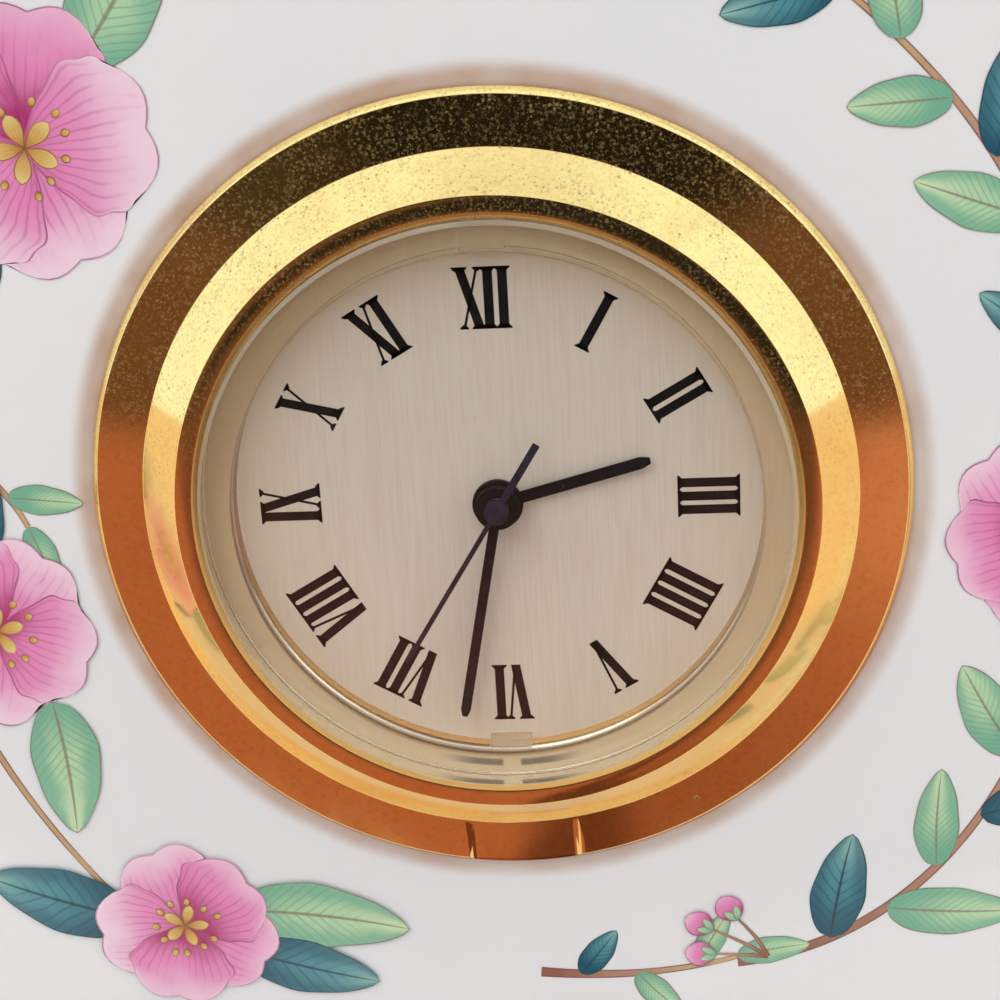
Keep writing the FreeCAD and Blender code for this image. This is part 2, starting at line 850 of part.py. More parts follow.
def make_stator():
    """The soft-iron stator: a ring round the rotor, nicked twice, with an arm to each end of the coil."""
    low, high = stator_back, stator_front
    pads = [disc(coil_post_radius, low, high, post) for post in coil_posts]
    arms = []
    for post in coil_posts:
        elbow = (post[0], post[1] - coil_radius - stator_arm_width / 2 - hand_gap)
        arms.append(bar(post, elbow, stator_arm_width, low, high))
        arms.append(bar(elbow, rotor_place, stator_arm_width, low, high))
    plate = joined(disc(stator_ring_radius, low, high, rotor_place), *arms, *pads)
    plate = plate.cut(disc(stator_hole_radius, low - overrun, high + overrun, rotor_place))
    for side in (-1, 1):
        nick = (rotor_place[0], rotor_place[1] + side * stator_ring_radius)
        plate = plate.cut(disc(pivot_radius, low - overrun, high + overrun, nick))
    for post in coil_posts:
        plate = plate.cut(disc(screw_radius + running_gap, low - overrun, high + overrun, post))
    return plate


def coil_ends():
    """The two ends of the winding, inside the posts."""
    (x1, y1), (x2, y2) = coil_posts
    return (x1 + coil_margin, y1), (x2 - coil_margin, y2)


def make_coil_core():
    """The flat iron core under the winding, screwed down on the stator at both ends."""
    low, high = stator_back - core_thickness, stator_back
    core = bar(coil_posts[0], coil_posts[1], core_width, low, high)
    pads = [disc(coil_post_radius, low, high, post) for post in coil_posts]
    core = joined(core, *pads)
    for post in coil_posts:
        core = core.cut(disc(screw_radius + running_gap, low - overrun, high + overrun, post))
    return core


def make_coil_winding():
    """The winding between its two cheeks, with a slot for the core."""
    (x1, y1), (x2, y2) = coil_ends()
    middle = stator_back - core_thickness / 2
    along = V(1, 0, 0)
    winding = Part.makeCylinder(coil_radius - coil_flange / 2, x2 - x1, V(x1, y1, middle), along)
    cheeks = [
        Part.makeCylinder(coil_radius, coil_flange, V(x, y1, middle), along) for x in (x1, x2 - coil_flange)
    ]
    slot = block(
        x2 - x1 + 2 * overrun,
        core_width + 2 * running_gap,
        middle - core_thickness / 2 - running_gap,
        middle + core_thickness / 2 + running_gap,
        ((x1 + x2) / 2, y1),
    )
    return joined(winding, *cheeks).cut(slot)


def make_coil_screws():
    """The two screws through core and stator into the posts."""
    seat = stator_back - core_thickness
    depth = core_thickness + stator_thickness + screw_depth - running_gap
    return Part.Compound([screw(post, seat, depth) for post in coil_posts])


def make_board():
    """The circuit board on its pegs."""
    corner = board_peg_radius
    slab = block(board_width, board_height, board_back, board_front, board_place)
    upright = [e for e in slab.Edges if abs(e.Vertexes[0].Z - e.Vertexes[1].Z) > board_thickness / 2]
    return slab.makeFillet(corner, upright)


def make_quartz_can():
    """The quartz crystal's metal can, lying on the board."""
    middle = board_back - can_radius
    x, y = can_place
    foot = y - can_length / 2
    along = V(0, 1, 0)
    can = Part.makeCylinder(can_radius, can_length, V(x, foot, middle), along)
    leads = [
        Part.makeCylinder(contact_thickness / 2, overrun, V(x + side, foot - overrun, middle), along)
        for side in (-can_radius / 2, can_radius / 2)
    ]
    return joined(can, *leads)


def make_chip_cap():
    """The resin cap over the chip: a low dome."""
    ball_radius = (chip_radius ** 2 + chip_height ** 2) / (2 * chip_height)
    middle = V(chip_place[0], chip_place[1], board_back - chip_height + ball_radius)
    ball = Part.makeSphere(ball_radius, middle)
    under = disc(chip_radius, board_back - chip_height, board_back, chip_place)
    return ball.common(under)


def make_cell():
    """The button cell: a can with a smaller cap on its front side."""
    can = disc(cell_radius, cell_back, cell_top - cell_rim, cell_place)
    cap = disc(cell_radius - 2 * cell_rim, cell_back, cell_top, cell_place)
    return joined(can, cap)


def make_contact_plus():
    """The positive spring: a strip from the back of the cell to the back of the board."""
    reach = board_place[1] - board_height / 2 - cell_place[1]
    path = [
        (-contact_width / 2, cell_back),
        (cell_radius, cell_back),
        (reach, board_back),
        (reach + contact_width, board_back),
    ]
    return strip(path, contact_width, cell_place, 90)


def make_contact_minus():
    """The negative spring: a strip from the cell's front, out through the well's gap and back to the board."""
    touching = cell_top + contact_thickness
    fixed = board_front + contact_thickness
    leave = cell_radius + 2 * well_gap + well_wall
    arrive = leave + contact_width
    path = [
        (-cell_radius / 2, touching),
        (leave, touching),
        (arrive, fixed),
        (arrive + contact_width / 2, fixed),
    ]
    return strip(path, contact_width, cell_place, 90)


def arbor(place, low, high, radius):
    """A plain steel-like pin on its place."""
    return disc(radius, low, high, place)


def make_second_wheel(phase, pinion_phase):
    """The wheel that carries the second hand, with its pinion, bored for its steel arbor."""
    low = second_wheel_top - wheel_thickness
    wheel = toothed(second_wheel_teeth, second_module, phase, low, second_wheel_top)
    pinion_low = third_wheel_top - wheel_thickness - pinion_over
    pinion = toothed(leaves, third_module, pinion_phase, pinion_low, third_wheel_top + pinion_over)
    neck = disc(third_module * (leaves / 2 - dedendum_share), second_wheel_top - bite, pinion_low + bite)
    body = joined(wheel, neck, pinion)
    return body.cut(disc(second_arbor_radius + press_gap, low - overrun, third_wheel_top + overrun))


def make_second_arbor():
    """The steel arbor from the bridge through the cannon pinion to the second hand."""
    top = second_hub_low + second_hub_height - hub_cap - press_gap
    return arbor(centre, bridge_back, top, second_arbor_radius)


def make_intermediate_wheel(phase, pinion_phase):
    """The wheel between the rotor and the second wheel, in one piece with its pinion and pivots."""
    low = third_wheel_top - wheel_thickness
    wheel = toothed(rotor_wheel_teeth, rotor_module, phase, low, third_wheel_top, intermediate_place)
    wheel = lightened(wheel, rotor_wheel_teeth, rotor_module, low, third_wheel_top, intermediate_place)
    pinion_low = second_wheel_top - wheel_thickness - pinion_over / 2
    pinion = toothed(leaves, second_module, pinion_phase, pinion_low, low + bite, intermediate_place)
    pin = arbor(intermediate_place, bridge_back, plate_back + plate_thickness / 2, pivot_radius)
    return joined(wheel, pinion, pin)


def make_third_wheel(phase, pinion_phase):
    """The wheel between the second wheel and the centre wheel."""
    low = third_wheel_top - wheel_thickness
    wheel = toothed(third_wheel_teeth, third_module, phase, low, third_wheel_top, third_place)
    wheel = lightened(wheel, third_wheel_teeth, third_module, low, third_wheel_top, third_place)
    pinion_top = centre_wheel_top + pinion_over / 2
    pinion = toothed(leaves, centre_module, pinion_phase, third_wheel_top - bite, pinion_top, third_place)
    pin = arbor(third_place, bridge_back, plate_back + plate_thickness / 2, pivot_radius)
    return joined(wheel, pinion, pin)


def make_centre_wheel(phase):
    """The wheel that drives the cannon pinion through a friction fit."""
    low = centre_wheel_top - wheel_thickness
    wheel = toothed(centre_wheel_teeth, centre_module, phase, low, centre_wheel_top)
    wheel = lightened(wheel, centre_wheel_teeth, centre_module, low, centre_wheel_top, centre)
    hub = disc(wheel_hub_radius, low - pinion_over, centre_wheel_top + pinion_over / 2)
    return joined(wheel, hub).cut(disc(cannon_outer_radius + running_gap, low - overrun, plate_back))


def make_cannon_pinion(phase):
    """The cannon pinion: a pipe through the plate with a pinion at its foot."""
    low = minute_wheel_low - pinion_over / 2
    tail = centre_wheel_top - wheel_thickness - pinion_over
    pinion = toothed(cannon_teeth, motion_module, phase, low, low + pinion_thickness * 3 / 4)
    pipe = disc(cannon_outer_radius, tail, minute_hub_low + minute_hub_height)
    bore = disc(cannon_inner_radius, tail - overrun, minute_hub_low + minute_hub_height + overrun)
    return joined(pinion, pipe).cut(bore)


def make_minute_wheel(phase, pinion_phase):
    """The minute wheel and its pinion, turning on the plate's stud."""
    top = minute_wheel_low + wheel_thickness
    wheel = toothed(minute_wheel_teeth, motion_module, phase, minute_wheel_low, top, minute_wheel_place)
    pinion_top = hour_wheel_low + wheel_thickness + pinion_over / 2
    pinion = toothed(minute_leaves, hour_module, pinion_phase, top - bite, pinion_top, minute_wheel_place)
    bore = disc(minute_stud_radius + running_gap, plate_front, pinion_top + overrun, minute_wheel_place)
    return joined(wheel, pinion).cut(bore)


def make_hour_wheel(phase):
    """The hour wheel on its pipe, which carries the hour hand."""
    wheel = toothed(hour_wheel_teeth, hour_module, phase, hour_wheel_low, hour_wheel_low + wheel_thickness)
    pipe_top = hour_hub_low + hour_hub_height
    pipe = disc(hour_pipe_radius, hour_wheel_low, pipe_top)
    return joined(wheel, pipe).cut(disc(hour_pipe_inner, hour_wheel_low - overrun, pipe_top + overrun))


def make_setting_stem(phase):
    """The setting stem: it meshes with the minute wheel and reaches out through the back cover."""
    low = minute_wheel_low - pinion_over / 2
    pinion = toothed(cannon_teeth, motion_module, phase, low, low + pinion_thickness * 3 / 4, setting_place)
    stem = arbor(setting_place, cup_back - knob_gap - knob_height / 2, low + bite, stem_radius)
    return joined(pinion, stem)


def make_setting_knob():
    """The ribbed knob on the end of the stem."""
    top = cup_back - knob_gap
    knob = disc(knob_radius, top - knob_height, top, setting_place)
    outer_edge = [e for e in knob.Edges if e.Closed and e.BoundBox.ZMax < top - overrun]
    knob = knob.makeChamfer(knob_rib_depth, outer_edge)
    groove_radius = pi * knob_radius / knob_ribs / 2
    for number in range(knob_ribs):
        reach = knob_radius + groove_radius - knob_rib_depth
        place = step_from(setting_place, reach, 360 / knob_ribs * number)
        angle = radians(360 / knob_ribs * number)
        tangent = (-sin(angle) * groove_radius, cos(angle) * groove_radius)
        inward = (-cos(angle) * groove_radius, -sin(angle) * groove_radius)
        outward = (2 * cos(angle) * groove_radius, 2 * sin(angle) * groove_radius)
        outline = [
            (place[0] + inward[0], place[1] + inward[1]),
            (place[0] + outward[0] + tangent[0], place[1] + outward[1] + tangent[1]),
            (place[0] + outward[0] - tangent[0], place[1] + outward[1] - tangent[1]),
        ]
        knob = knob.cut(prism(outline, top - knob_height - overrun, top + overrun))
    bore_low = top - knob_height / 2 - press_gap
    return knob.cut(disc(stem_radius + press_gap, bore_low, top + overrun, setting_place))


def make_rotor_magnet():
    """The disc magnet on the rotor."""
    middle = (stator_front + stator_back) / 2
    return ring(
        rotor_radius,
        rotor_collar_radius + press_gap,
        middle - rotor_thickness / 2,
        middle + rotor_thickness / 2,
        rotor_place,
    )


def make_rotor_pinion(phase):
    """The moulded rotor arbor: pinion in front, collar for the magnet and a pivot at each end."""
    middle = (stator_front + stator_back) / 2
    low = third_wheel_top - wheel_thickness - pinion_over
    pinion = toothed(leaves, rotor_module, phase, low, third_wheel_top + pinion_over, rotor_place)
    collar = disc(rotor_collar_radius, middle - rotor_thickness / 2, low + bite, rotor_place)
    pin = arbor(rotor_place, bridge_back, plate_back + plate_thickness / 2, pivot_radius)
    return joined(collar, pinion, pin)


def direction(start, end):
    """The angle from one place to another, in radians."""
    return atan2(end[1] - start[1], end[0] - start[0])


def phases():
    """The angle of one tooth of every wheel, so that each pair is in mesh at rest."""
    found = {}
    to_intermediate = direction(centre, intermediate_place)
    found["second"] = to_intermediate
    found["intermediate_pinion"] = meshed_phase(to_intermediate, second_wheel_teeth, leaves, to_intermediate)
    to_rotor = direction(intermediate_place, rotor_place)
    found["intermediate"] = to_rotor
    found["rotor"] = meshed_phase(to_rotor, rotor_wheel_teeth, leaves, to_rotor)
    to_third = direction(centre, third_place)
    found["second_pinion"] = to_third
    found["third"] = meshed_phase(to_third, leaves, third_wheel_teeth, to_third)
    found["centre"] = to_third
    found["third_pinion"] = meshed_phase(to_third, centre_wheel_teeth, leaves, to_third)
    to_minute = direction(centre, minute_wheel_place)
    found["cannon"] = to_minute
    found["minute"] = meshed_phase(to_minute, cannon_teeth, minute_wheel_teeth, to_minute)
    found["hour"] = to_minute
    found["minute_pinion"] = meshed_phase(to_minute, hour_wheel_teeth, minute_leaves, to_minute)
    to_setting = direction(minute_wheel_place, setting_place)
    found["setting"] = meshed_phase(found["minute"], minute_wheel_teeth, cannon_teeth, to_setting)
    return found


os.makedirs("parts", exist_ok=True)
tooth = phases()
save("porcelain_case", make_case())
pieces = {
    "bezel": make_bezel(),
    "crystal": make_crystal(),
    "dial": make_dial(),
    "dial_spacer": make_spacer(),
    "hour_hand": make_hour_hand(),
    "minute_hand": make_minute_hand(),
    "second_hand": make_second_hand(),
    "insert_cup": make_cup(),
    "grip_gasket": make_gasket(),
    "back_cover": make_back_cover(),
    "cover_screws": make_cover_screws(),
    "battery_hatch": make_hatch(),
    "battery_cell": make_cell(),
    "contact_plus": make_contact_plus(),
    "contact_minus": make_contact_minus(),
    "main_plate": make_main_plate(),
    "train_bridge": make_bridge(),
    "bridge_screws": make_bridge_screws(),
    "stator": make_stator(),
    "coil_core": make_coil_core(),
    "coil_winding": make_coil_winding(),
    "coil_screws": make_coil_screws(),
    "circuit_board": make_board(),
    "quartz_can": make_quartz_can(),
    "chip_cap": make_chip_cap(),
    "second_wheel": make_second_wheel(tooth["second"], tooth["second_pinion"]),
    "second_arbor": make_second_arbor(),
    "intermediate_wheel": make_intermediate_wheel(tooth["intermediate"], tooth["intermediate_pinion"]),
    "third_wheel": make_third_wheel(tooth["third"], tooth["third_pinion"]),
    "centre_wheel": make_centre_wheel(tooth["centre"]),
    "rotor_magnet": make_rotor_magnet(),
    "rotor_pinion": make_rotor_pinion(tooth["rotor"]),
    "cannon_pinion": make_cannon_pinion(tooth["cannon"]),
    "minute_wheel": make_minute_wheel(tooth["minute"], tooth["minute_pinion"]),
    "hour_wheel": make_hour_wheel(tooth["hour"]),
    "setting_stem": make_setting_stem(tooth["setting"]),
    "setting_knob": make_setting_knob(),
}
for name, shape in pieces.items():
    save(name, in_place(shape))
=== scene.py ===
"""A porcelain pendulette with a stepped gold bezel and a quartz insert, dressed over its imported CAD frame."""

import logging
import math
import random
from dataclasses import dataclass, field
from enum import Enum
from typing import Any, Callable, Dict, List, Optional, Sequence, Tuple, Union

import bmesh
import bpy
from bmesh.types import BMesh, BMVert
from bpy.types import Material, Node, NodeSocket as Socket, NodeTree, Object
from mathutils import Matrix, Vector


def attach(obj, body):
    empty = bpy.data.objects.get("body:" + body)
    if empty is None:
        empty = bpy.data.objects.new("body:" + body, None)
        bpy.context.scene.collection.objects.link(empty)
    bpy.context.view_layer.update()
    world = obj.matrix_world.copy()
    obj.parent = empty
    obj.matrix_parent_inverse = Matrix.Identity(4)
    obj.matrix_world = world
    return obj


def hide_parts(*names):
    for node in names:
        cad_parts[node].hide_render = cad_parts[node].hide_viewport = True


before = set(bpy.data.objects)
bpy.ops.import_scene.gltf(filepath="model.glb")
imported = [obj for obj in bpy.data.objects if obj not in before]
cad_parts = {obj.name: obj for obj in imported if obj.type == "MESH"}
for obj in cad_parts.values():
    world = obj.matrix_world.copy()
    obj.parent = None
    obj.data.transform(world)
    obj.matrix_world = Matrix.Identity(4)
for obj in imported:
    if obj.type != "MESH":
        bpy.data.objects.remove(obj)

log = logging.getLogger("pendulette")

Colour = Tuple[float, float, float, float]
Place = Tuple[float, float]
Span = Tuple[float, float]
Spot = Tuple[float, float, float]
Source = Union[float, Sequence[float], Socket]
Sockets = Dict[Any, Source]

MM = 0.001
# Where the bezel's back and the clock's axis lie, in metres.
FACE_Y = -0.0181
CENTRE_Z = 0.046
SMOOTH_LIMIT = math.radians(32)
# The two ends of a ramp, and the span in which most of a noise lies.
RISE: Span = (0.0, 1.0)
FALL: Span = (1.0, 0.0)
SWING: Span = (0.3, 0.7)
# The decoration's material numbers.
PETAL, LEAF, DARK_LEAF, POLLEN, STEM = range(5)
# The widths of the numerals' strokes, in millimetres.
THICK, THIN = 0.57, 0.15

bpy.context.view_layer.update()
CLOCK_TO_WORLD = (
    Matrix.Translation((0.0, FACE_Y, CENTRE_Z))
    @ Matrix.Rotation(math.radians(90), 4, "X")
    @ Matrix.Scale(MM, 4)
)


def srgb(red: int, green: int, blue: int) -> Colour:
    """Turns a colour read from a screen into the linear colour that a material takes.

    Args:
        red: 0 to 255.
        green: 0 to 255.
        blue: 0 to 255.

    Returns:
        The linear colour with full alpha.
    """
    parts = [value / 255 for value in (red, green, blue)]
    linear = [p / 12.92 if p <= 0.04045 else ((p + 0.055) / 1.055) ** 2.4 for p in parts]
    return (linear[0], linear[1], linear[2], 1.0)


def paler(colour: Colour, gain: float, lift: float) -> Colour:
    """Lightens a linear colour by a factor and a step, up to white.

    Args:
        colour: The colour.
        gain: The factor.
        lift: The step.

    Returns:
        The lighter colour with full alpha.
    """
    red, green, blue = (min(1.0, part * gain + lift) for part in colour[:3])
    return (red, green, blue, 1.0)


# ---------------------------------------------------------------- node trees


class Tree:
    """Adds nodes to a node tree and joins them as they are added."""

    def __init__(self, tree: NodeTree) -> None:
        """Takes over an empty or new node tree."""
        self.tree = tree

    def fill(self, node: Node, sockets: Sockets) -> Node:
        """Sets or links the inputs of a node.

        Args:
            node: The node.
            sockets: Values or source sockets for its inputs, by name or number.

        Returns:
            The same node.
        """
        for key, value in sockets.items():
            if isinstance(value, Socket):
                self.tree.links.new(value, node.inputs[key])
            else:
                node.inputs[key].default_value = value
        return node

    def add(self, kind: str, sockets: Optional[Sockets] = None, **settings: Any) -> Node:
        """Adds one node.

        Args:
            kind: The node's type name.
            sockets: Values or source sockets for its inputs, by name or number.
            **settings: The node's own settings.

        Returns:
            The new node.
        """
        node = self.tree.nodes.new(kind)
        for key, value in settings.items():
            setattr(node, key, value)
        return self.fill(node, sockets or {})

    def math(self, operation: str, a: Source, b: Source = 0.0, clamp: bool = False) -> Socket:
        """Adds a Math node and returns its result."""
        return self.add("ShaderNodeMath", {0: a, 1: b}, operation=operation, use_clamp=clamp).outputs[0]

    def fold(self, operation: str, values: Sequence[Source]) -> Socket:
        """Joins two or more values, from left to right, by one operation."""
        result = values[0]
        for value in values[1:]:
            result = self.math(operation, result, value)
        return result

    def times(self, *values: Source) -> Socket:
        """The product of two or more values."""
        return self.fold("MULTIPLY", values)

    def most(self, *values: Source) -> Socket:
        """The greatest of two or more values."""
        return self.fold("MAXIMUM", values)

    def plus(self, a: Source, b: Source, clamp: bool = False) -> Socket:
        """The sum of two values."""
        return self.math("ADD", a, b, clamp)

    def minus(self, a: Source, b: Source, clamp: bool = False) -> Socket:
        """The first value less the second."""
        return self.math("SUBTRACT", a, b, clamp)

    def size(self, value: Source) -> Socket:
        """The value without its sign."""
        return self.math("ABSOLUTE", value)

    def step(self, value: Source, span: Span, ends: Span = RISE) -> Socket:
        """Adds a smooth ramp.

        Args:
            value: What is measured.
            span: Where the ramp starts and ends.
            ends: The result at and below its start, and at and above its end.

        Returns:
            The ramp's socket.
        """
        sockets = {0: value, 1: span[0], 2: span[1], 3: ends[0], 4: ends[1]}
        return self.add("ShaderNodeMapRange", sockets, interpolation_type="SMOOTHSTEP").outputs[0]

    def band(self, value: Source, rise: Span, drop: Span) -> Socket:
        """A mask that is 1 between a rising and a falling ramp."""
        return self.times(self.step(value, rise), self.step(value, drop, FALL))

    def mix(self, share: Source, a: Source, b: Source) -> Socket:
        """Mixes two colours and returns the result."""
        return self.add("ShaderNodeMix", {0: share, 6: a, 7: b}, data_type="RGBA").outputs[2]

    def layers(self, base: Source, *coats: Tuple[Source, Source]) -> Socket:
        """Lays colours one over another.

        Args:
            base: The lowest colour.
            *coats: Share and colour of each coat, from below.

        Returns:
            The colour that shows.
        """
        for share, colour in coats:
            base = self.mix(share, base, colour)
        return base

    def ramp(self, share: Source, stops: Sequence[Tuple[float, Colour]], easing: str = "LINEAR") -> Socket:
        """Adds a colour ramp.

        Args:
            share: Where in the ramp the colour is read.
            stops: Position and colour of each stop.
            easing: How the ramp goes from stop to stop.

        Returns:
            The colour.
        """
        node = self.add("ShaderNodeValToRGB", {0: share})
        node.color_ramp.interpolation = easing
        elements = node.color_ramp.elements
        elements[0].position, elements[0].color = stops[0]
        elements[1].position, elements[1].color = stops[-1]
        for position, colour in stops[1:-1]:
            elements.new(position).color = colour
        return node.outputs["Color"]

    def noise(self, vector: Source, scale: Source, detail: float = 3.0, roughness: float = 0.5,
              distortion: float = 0.0) -> Socket:
        """Adds a noise texture and returns its value."""
        sockets = {"Vector": vector, "Scale": scale, "Detail": detail, "Roughness": roughness,
                   "Distortion": distortion}
        return self.add("ShaderNodeTexNoise", sockets).outputs["Fac"]

    def stretch(self, vector: Source, scale: Spot, offset: Spot = (0.0, 0.0, 0.0)) -> Socket:
        """Scales and shifts coordinates."""
        sockets = {"Vector": vector, "Location": offset, "Scale": scale}
        return self.add("ShaderNodeMapping", sockets).outputs[0]

    def place(self) -> Socket:
        """The object's own coordinates, in metres."""
        return self.add("ShaderNodeTexCoord").outputs["Object"]

    def centred(self) -> Socket:
        """Coordinates measured from the clock's axis and the bezel's back, in metres."""
        return self.stretch(self.place(), (1.0, 1.0, 1.0), (0.0, -FACE_Y, -CENTRE_Z))

    def split(self, vector: Source) -> Tuple[Socket, Socket, Socket]:
        """The three parts of a vector."""
        node = self.add("ShaderNodeSeparateXYZ", {0: vector})
        return node.outputs[0], node.outputs[1], node.outputs[2]

    def radius(self, vector: Source) -> Socket:
        """The distance of centred coordinates from the clock's axis, in metres."""
        across, _, up = self.split(vector)
        return self.math("SQRT", self.plus(self.times(across, across), self.times(up, up)))

    def rays(self) -> Any:
        """The outputs that tell one kind of ray from another."""
        return self.add("ShaderNodeLightPath").outputs

    def blend(self, share: Source, a: Socket, b: Socket) -> Socket:
        """Mixes two shaders and returns the result."""
        return self.add("ShaderNodeMixShader", {0: share, 1: a, 2: b}).outputs[0]

    def bump(self, height: Source, strength: float, distance: float) -> Socket:
        """Adds a Bump node and returns its normal."""
        sockets = {"Height": height, "Strength": strength, "Distance": distance}
        return self.add("ShaderNodeBump", sockets).outputs["Normal"]

    def effect(self, effect: "Effect", vector: Source, **values: Source) -> Socket:
        """Places a shared effect.

        Args:
            effect: The effect.
            vector: Its coordinates.
            **values: Its other inputs by name.

        Returns:
            The effect's output.
        """
        return self.add("ShaderNodeGroup", {"Vector": vector, **values}, node_tree=effect.group()).outputs[0]


@dataclass(frozen=True)
class Effect:
    """An effect that several materials place, each with its own values, as one shared node group."""

    name: str
    inputs: Tuple[str, ...]
    output: str
    draw: Callable[[Tree, Any], Socket]

    def group(self) -> NodeTree:
        """The node group, which is made when it is first asked for."""
        group = bpy.data.node_groups.get(self.name)
        if group is None:
            group = bpy.data.node_groups.new(self.name, "ShaderNodeTree")
            group.interface.new_socket("Vector", in_out="INPUT", socket_type="NodeSocketVector")
            for title in self.inputs:
                group.interface.new_socket(title, in_out="INPUT", socket_type="NodeSocketFloat")
            group.interface.new_socket(self.output, in_out="OUTPUT", socket_type="NodeSocketFloat")
            tree = Tree(group)
            given = tree.add("NodeGroupInput").outputs
            tree.add("NodeGroupOutput", {0: self.draw(tree, given)})
        return group


def draw_dust(tree: Tree, given: Any) -> Socket:
    """Small settled specks: a mask that is 1 on a speck."""
    cells = tree.add("ShaderNodeTexVoronoi", {"Vector": given["Vector"], "Scale": given["Density"]}).outputs
    pick, spread, _ = tree.split(cells["Color"])
    chosen = tree.math("LESS_THAN", pick, given["Share"])
    near = tree.minus(tree.times(given["Size"], tree.plus(spread, 0.4)), cells["Distance"])
    return tree.math("MULTIPLY", tree.math("MULTIPLY", near, 12.0, True), chosen, True)


def draw_smudges(tree: Tree, given: Any) -> Socket:
    """Finger smears and wear: a soft mask."""
    smear = tree.noise(given["Vector"], given["Density"], detail=5.0, distortion=0.6)
    return tree.step(smear, (0.42, 0.72))


def draw_grain(tree: Tree, given: Any) -> Socket:
    """The fine spark-eroded grain of a moulding: a height."""
    return tree.noise(given["Vector"], given["Density"], detail=2.0)


def draw_brushing(tree: Tree, given: Any) -> Socket:
    """Straight brush lines: a value that runs in streaks along the vector's third axis."""
    thin = tree.add("ShaderNodeVectorMath", {0: given["Vector"], 1: (1.0, 1.0, 0.035)}, operation="MULTIPLY")
    return tree.noise(thin.outputs[0], given["Across"], detail=4.0, roughness=0.65)


def draw_turning(tree: Tree, given: Any) -> Socket:
    """The rings that a lathe leaves round the Y axis: a height."""
    flat = tree.add("ShaderNodeVectorMath", {0: given["Vector"], 1: (1.0, 0.0, 1.0)}, operation="MULTIPLY")
    radius = tree.add("ShaderNodeVectorMath", {0: flat.outputs[0]}, operation="LENGTH").outputs["Value"]
    sockets = {"W": tree.times(radius, given["Pitch"]), "Scale": 1.0, "Detail": 2.0}
    return tree.add("ShaderNodeTexNoise", sockets, noise_dimensions="1D").outputs["Fac"]


DUST = Effect("dust_specks", ("Density", "Share", "Size"), "Mask", draw_dust)
SMUDGES = Effect("soft_smudges", ("Density",), "Mask", draw_smudges)
GRAIN = Effect("moulded_grain", ("Density",), "Height", draw_grain)
BRUSHING = Effect("brush_lines", ("Across",), "Value", draw_brushing)
TURNING = Effect("turned_rings", ("Pitch",), "Height", draw_turning)


# ---------------------------------------------------------------- finishes


@dataclass(frozen=True)
class Finish:
    """A finish that dresses a surface with a node material."""

    name: str

    def surface(self, tree: Tree) -> Sockets:
        """What the Principled shader takes: values or source sockets by input name."""
        raise NotImplementedError

    def cover(self, tree: Tree, shader: Socket) -> Socket:
        """Lays something over the shader where a finish needs it; here nothing."""
        return shader

    def build(self) -> Material:
        """Makes the material."""
        material = bpy.data.materials.new(self.name)
        material.use_nodes = True
        nodes = material.node_tree.nodes
        tree = Tree(material.node_tree)
        shader = tree.fill(nodes["Principled BSDF"], self.surface(tree)).outputs[0]
        tree.fill(nodes["Material Output"], {"Surface": self.cover(tree, shader)})
        return material


@dataclass(frozen=True)
class Glaze(Finish):
    """White glazed porcelain, with a bare unglazed foot ring and a warm ring round the insert, partly dirt and
    partly painted shade and a painted reflection of the bezel.
    """

    white: Colour = srgb(237, 235, 235)
    cool: Colour = srgb(233, 232, 234)
    grime_and_painted_shade: Colour = srgb(192, 150, 116)
    pinhole: Colour = srgb(170, 140, 110)
    biscuit: Colour = srgb(222, 211, 196)
    ring: Span = (0.0256, 0.0267)
    painted_shade_side: Span = (-0.03, 0.025)
    front: Span = (0.0008, 0.002)
    foot: Span = (0.0003, 0.0007)

    def surface(self, tree: Tree) -> Sockets:
        """Glaze, with a warm ring of dirt, painted shade and painted reflection that is stronger to the upper
        left, and a few pinholes.
        """
        centred = tree.centred()
        across, depth, up = tree.split(centred)
        height = tree.split(tree.place())[2]
        # dirt: partly dirt, partly painted shade and a painted reflection of the gold bezel, in a ring round
        # the insert, stronger to the upper left
        dirt = tree.times(
            tree.step(tree.radius(centred), self.ring, FALL),
            tree.step(tree.minus(up, across), self.painted_shade_side, (0.6, 0.85)),
            tree.step(depth, self.front, FALL),
            tree.step(tree.noise(centred, scale=260.0, detail=4.0), SWING, (0.7, 1.0)),
        )
        cloud = tree.noise(centred, scale=35.0, detail=2.0)
        pins = tree.effect(DUST, centred, Density=210.0, Share=0.06, Size=0.09)
        ripple = tree.noise(centred, scale=90.0, detail=3.0, roughness=0.4)
        return {
            "Base Color": tree.layers(
                self.white,
                (tree.step(cloud, (0.35, 0.65)), self.cool),
                (dirt, self.grime_and_painted_shade),
                (tree.times(pins, 0.55), self.pinhole),
                (tree.step(height, self.foot, FALL), self.biscuit),
            ),
            "Roughness": tree.step(height, self.foot, (0.75, 0.1)),
            "IOR": 1.5,
            "Subsurface Weight": 0.06,
            "Subsurface Radius": (0.9, 0.7, 0.5),
            "Subsurface Scale": 0.001,
            "Normal": tree.bump(ripple, strength=0.06, distance=0.0004),
        }


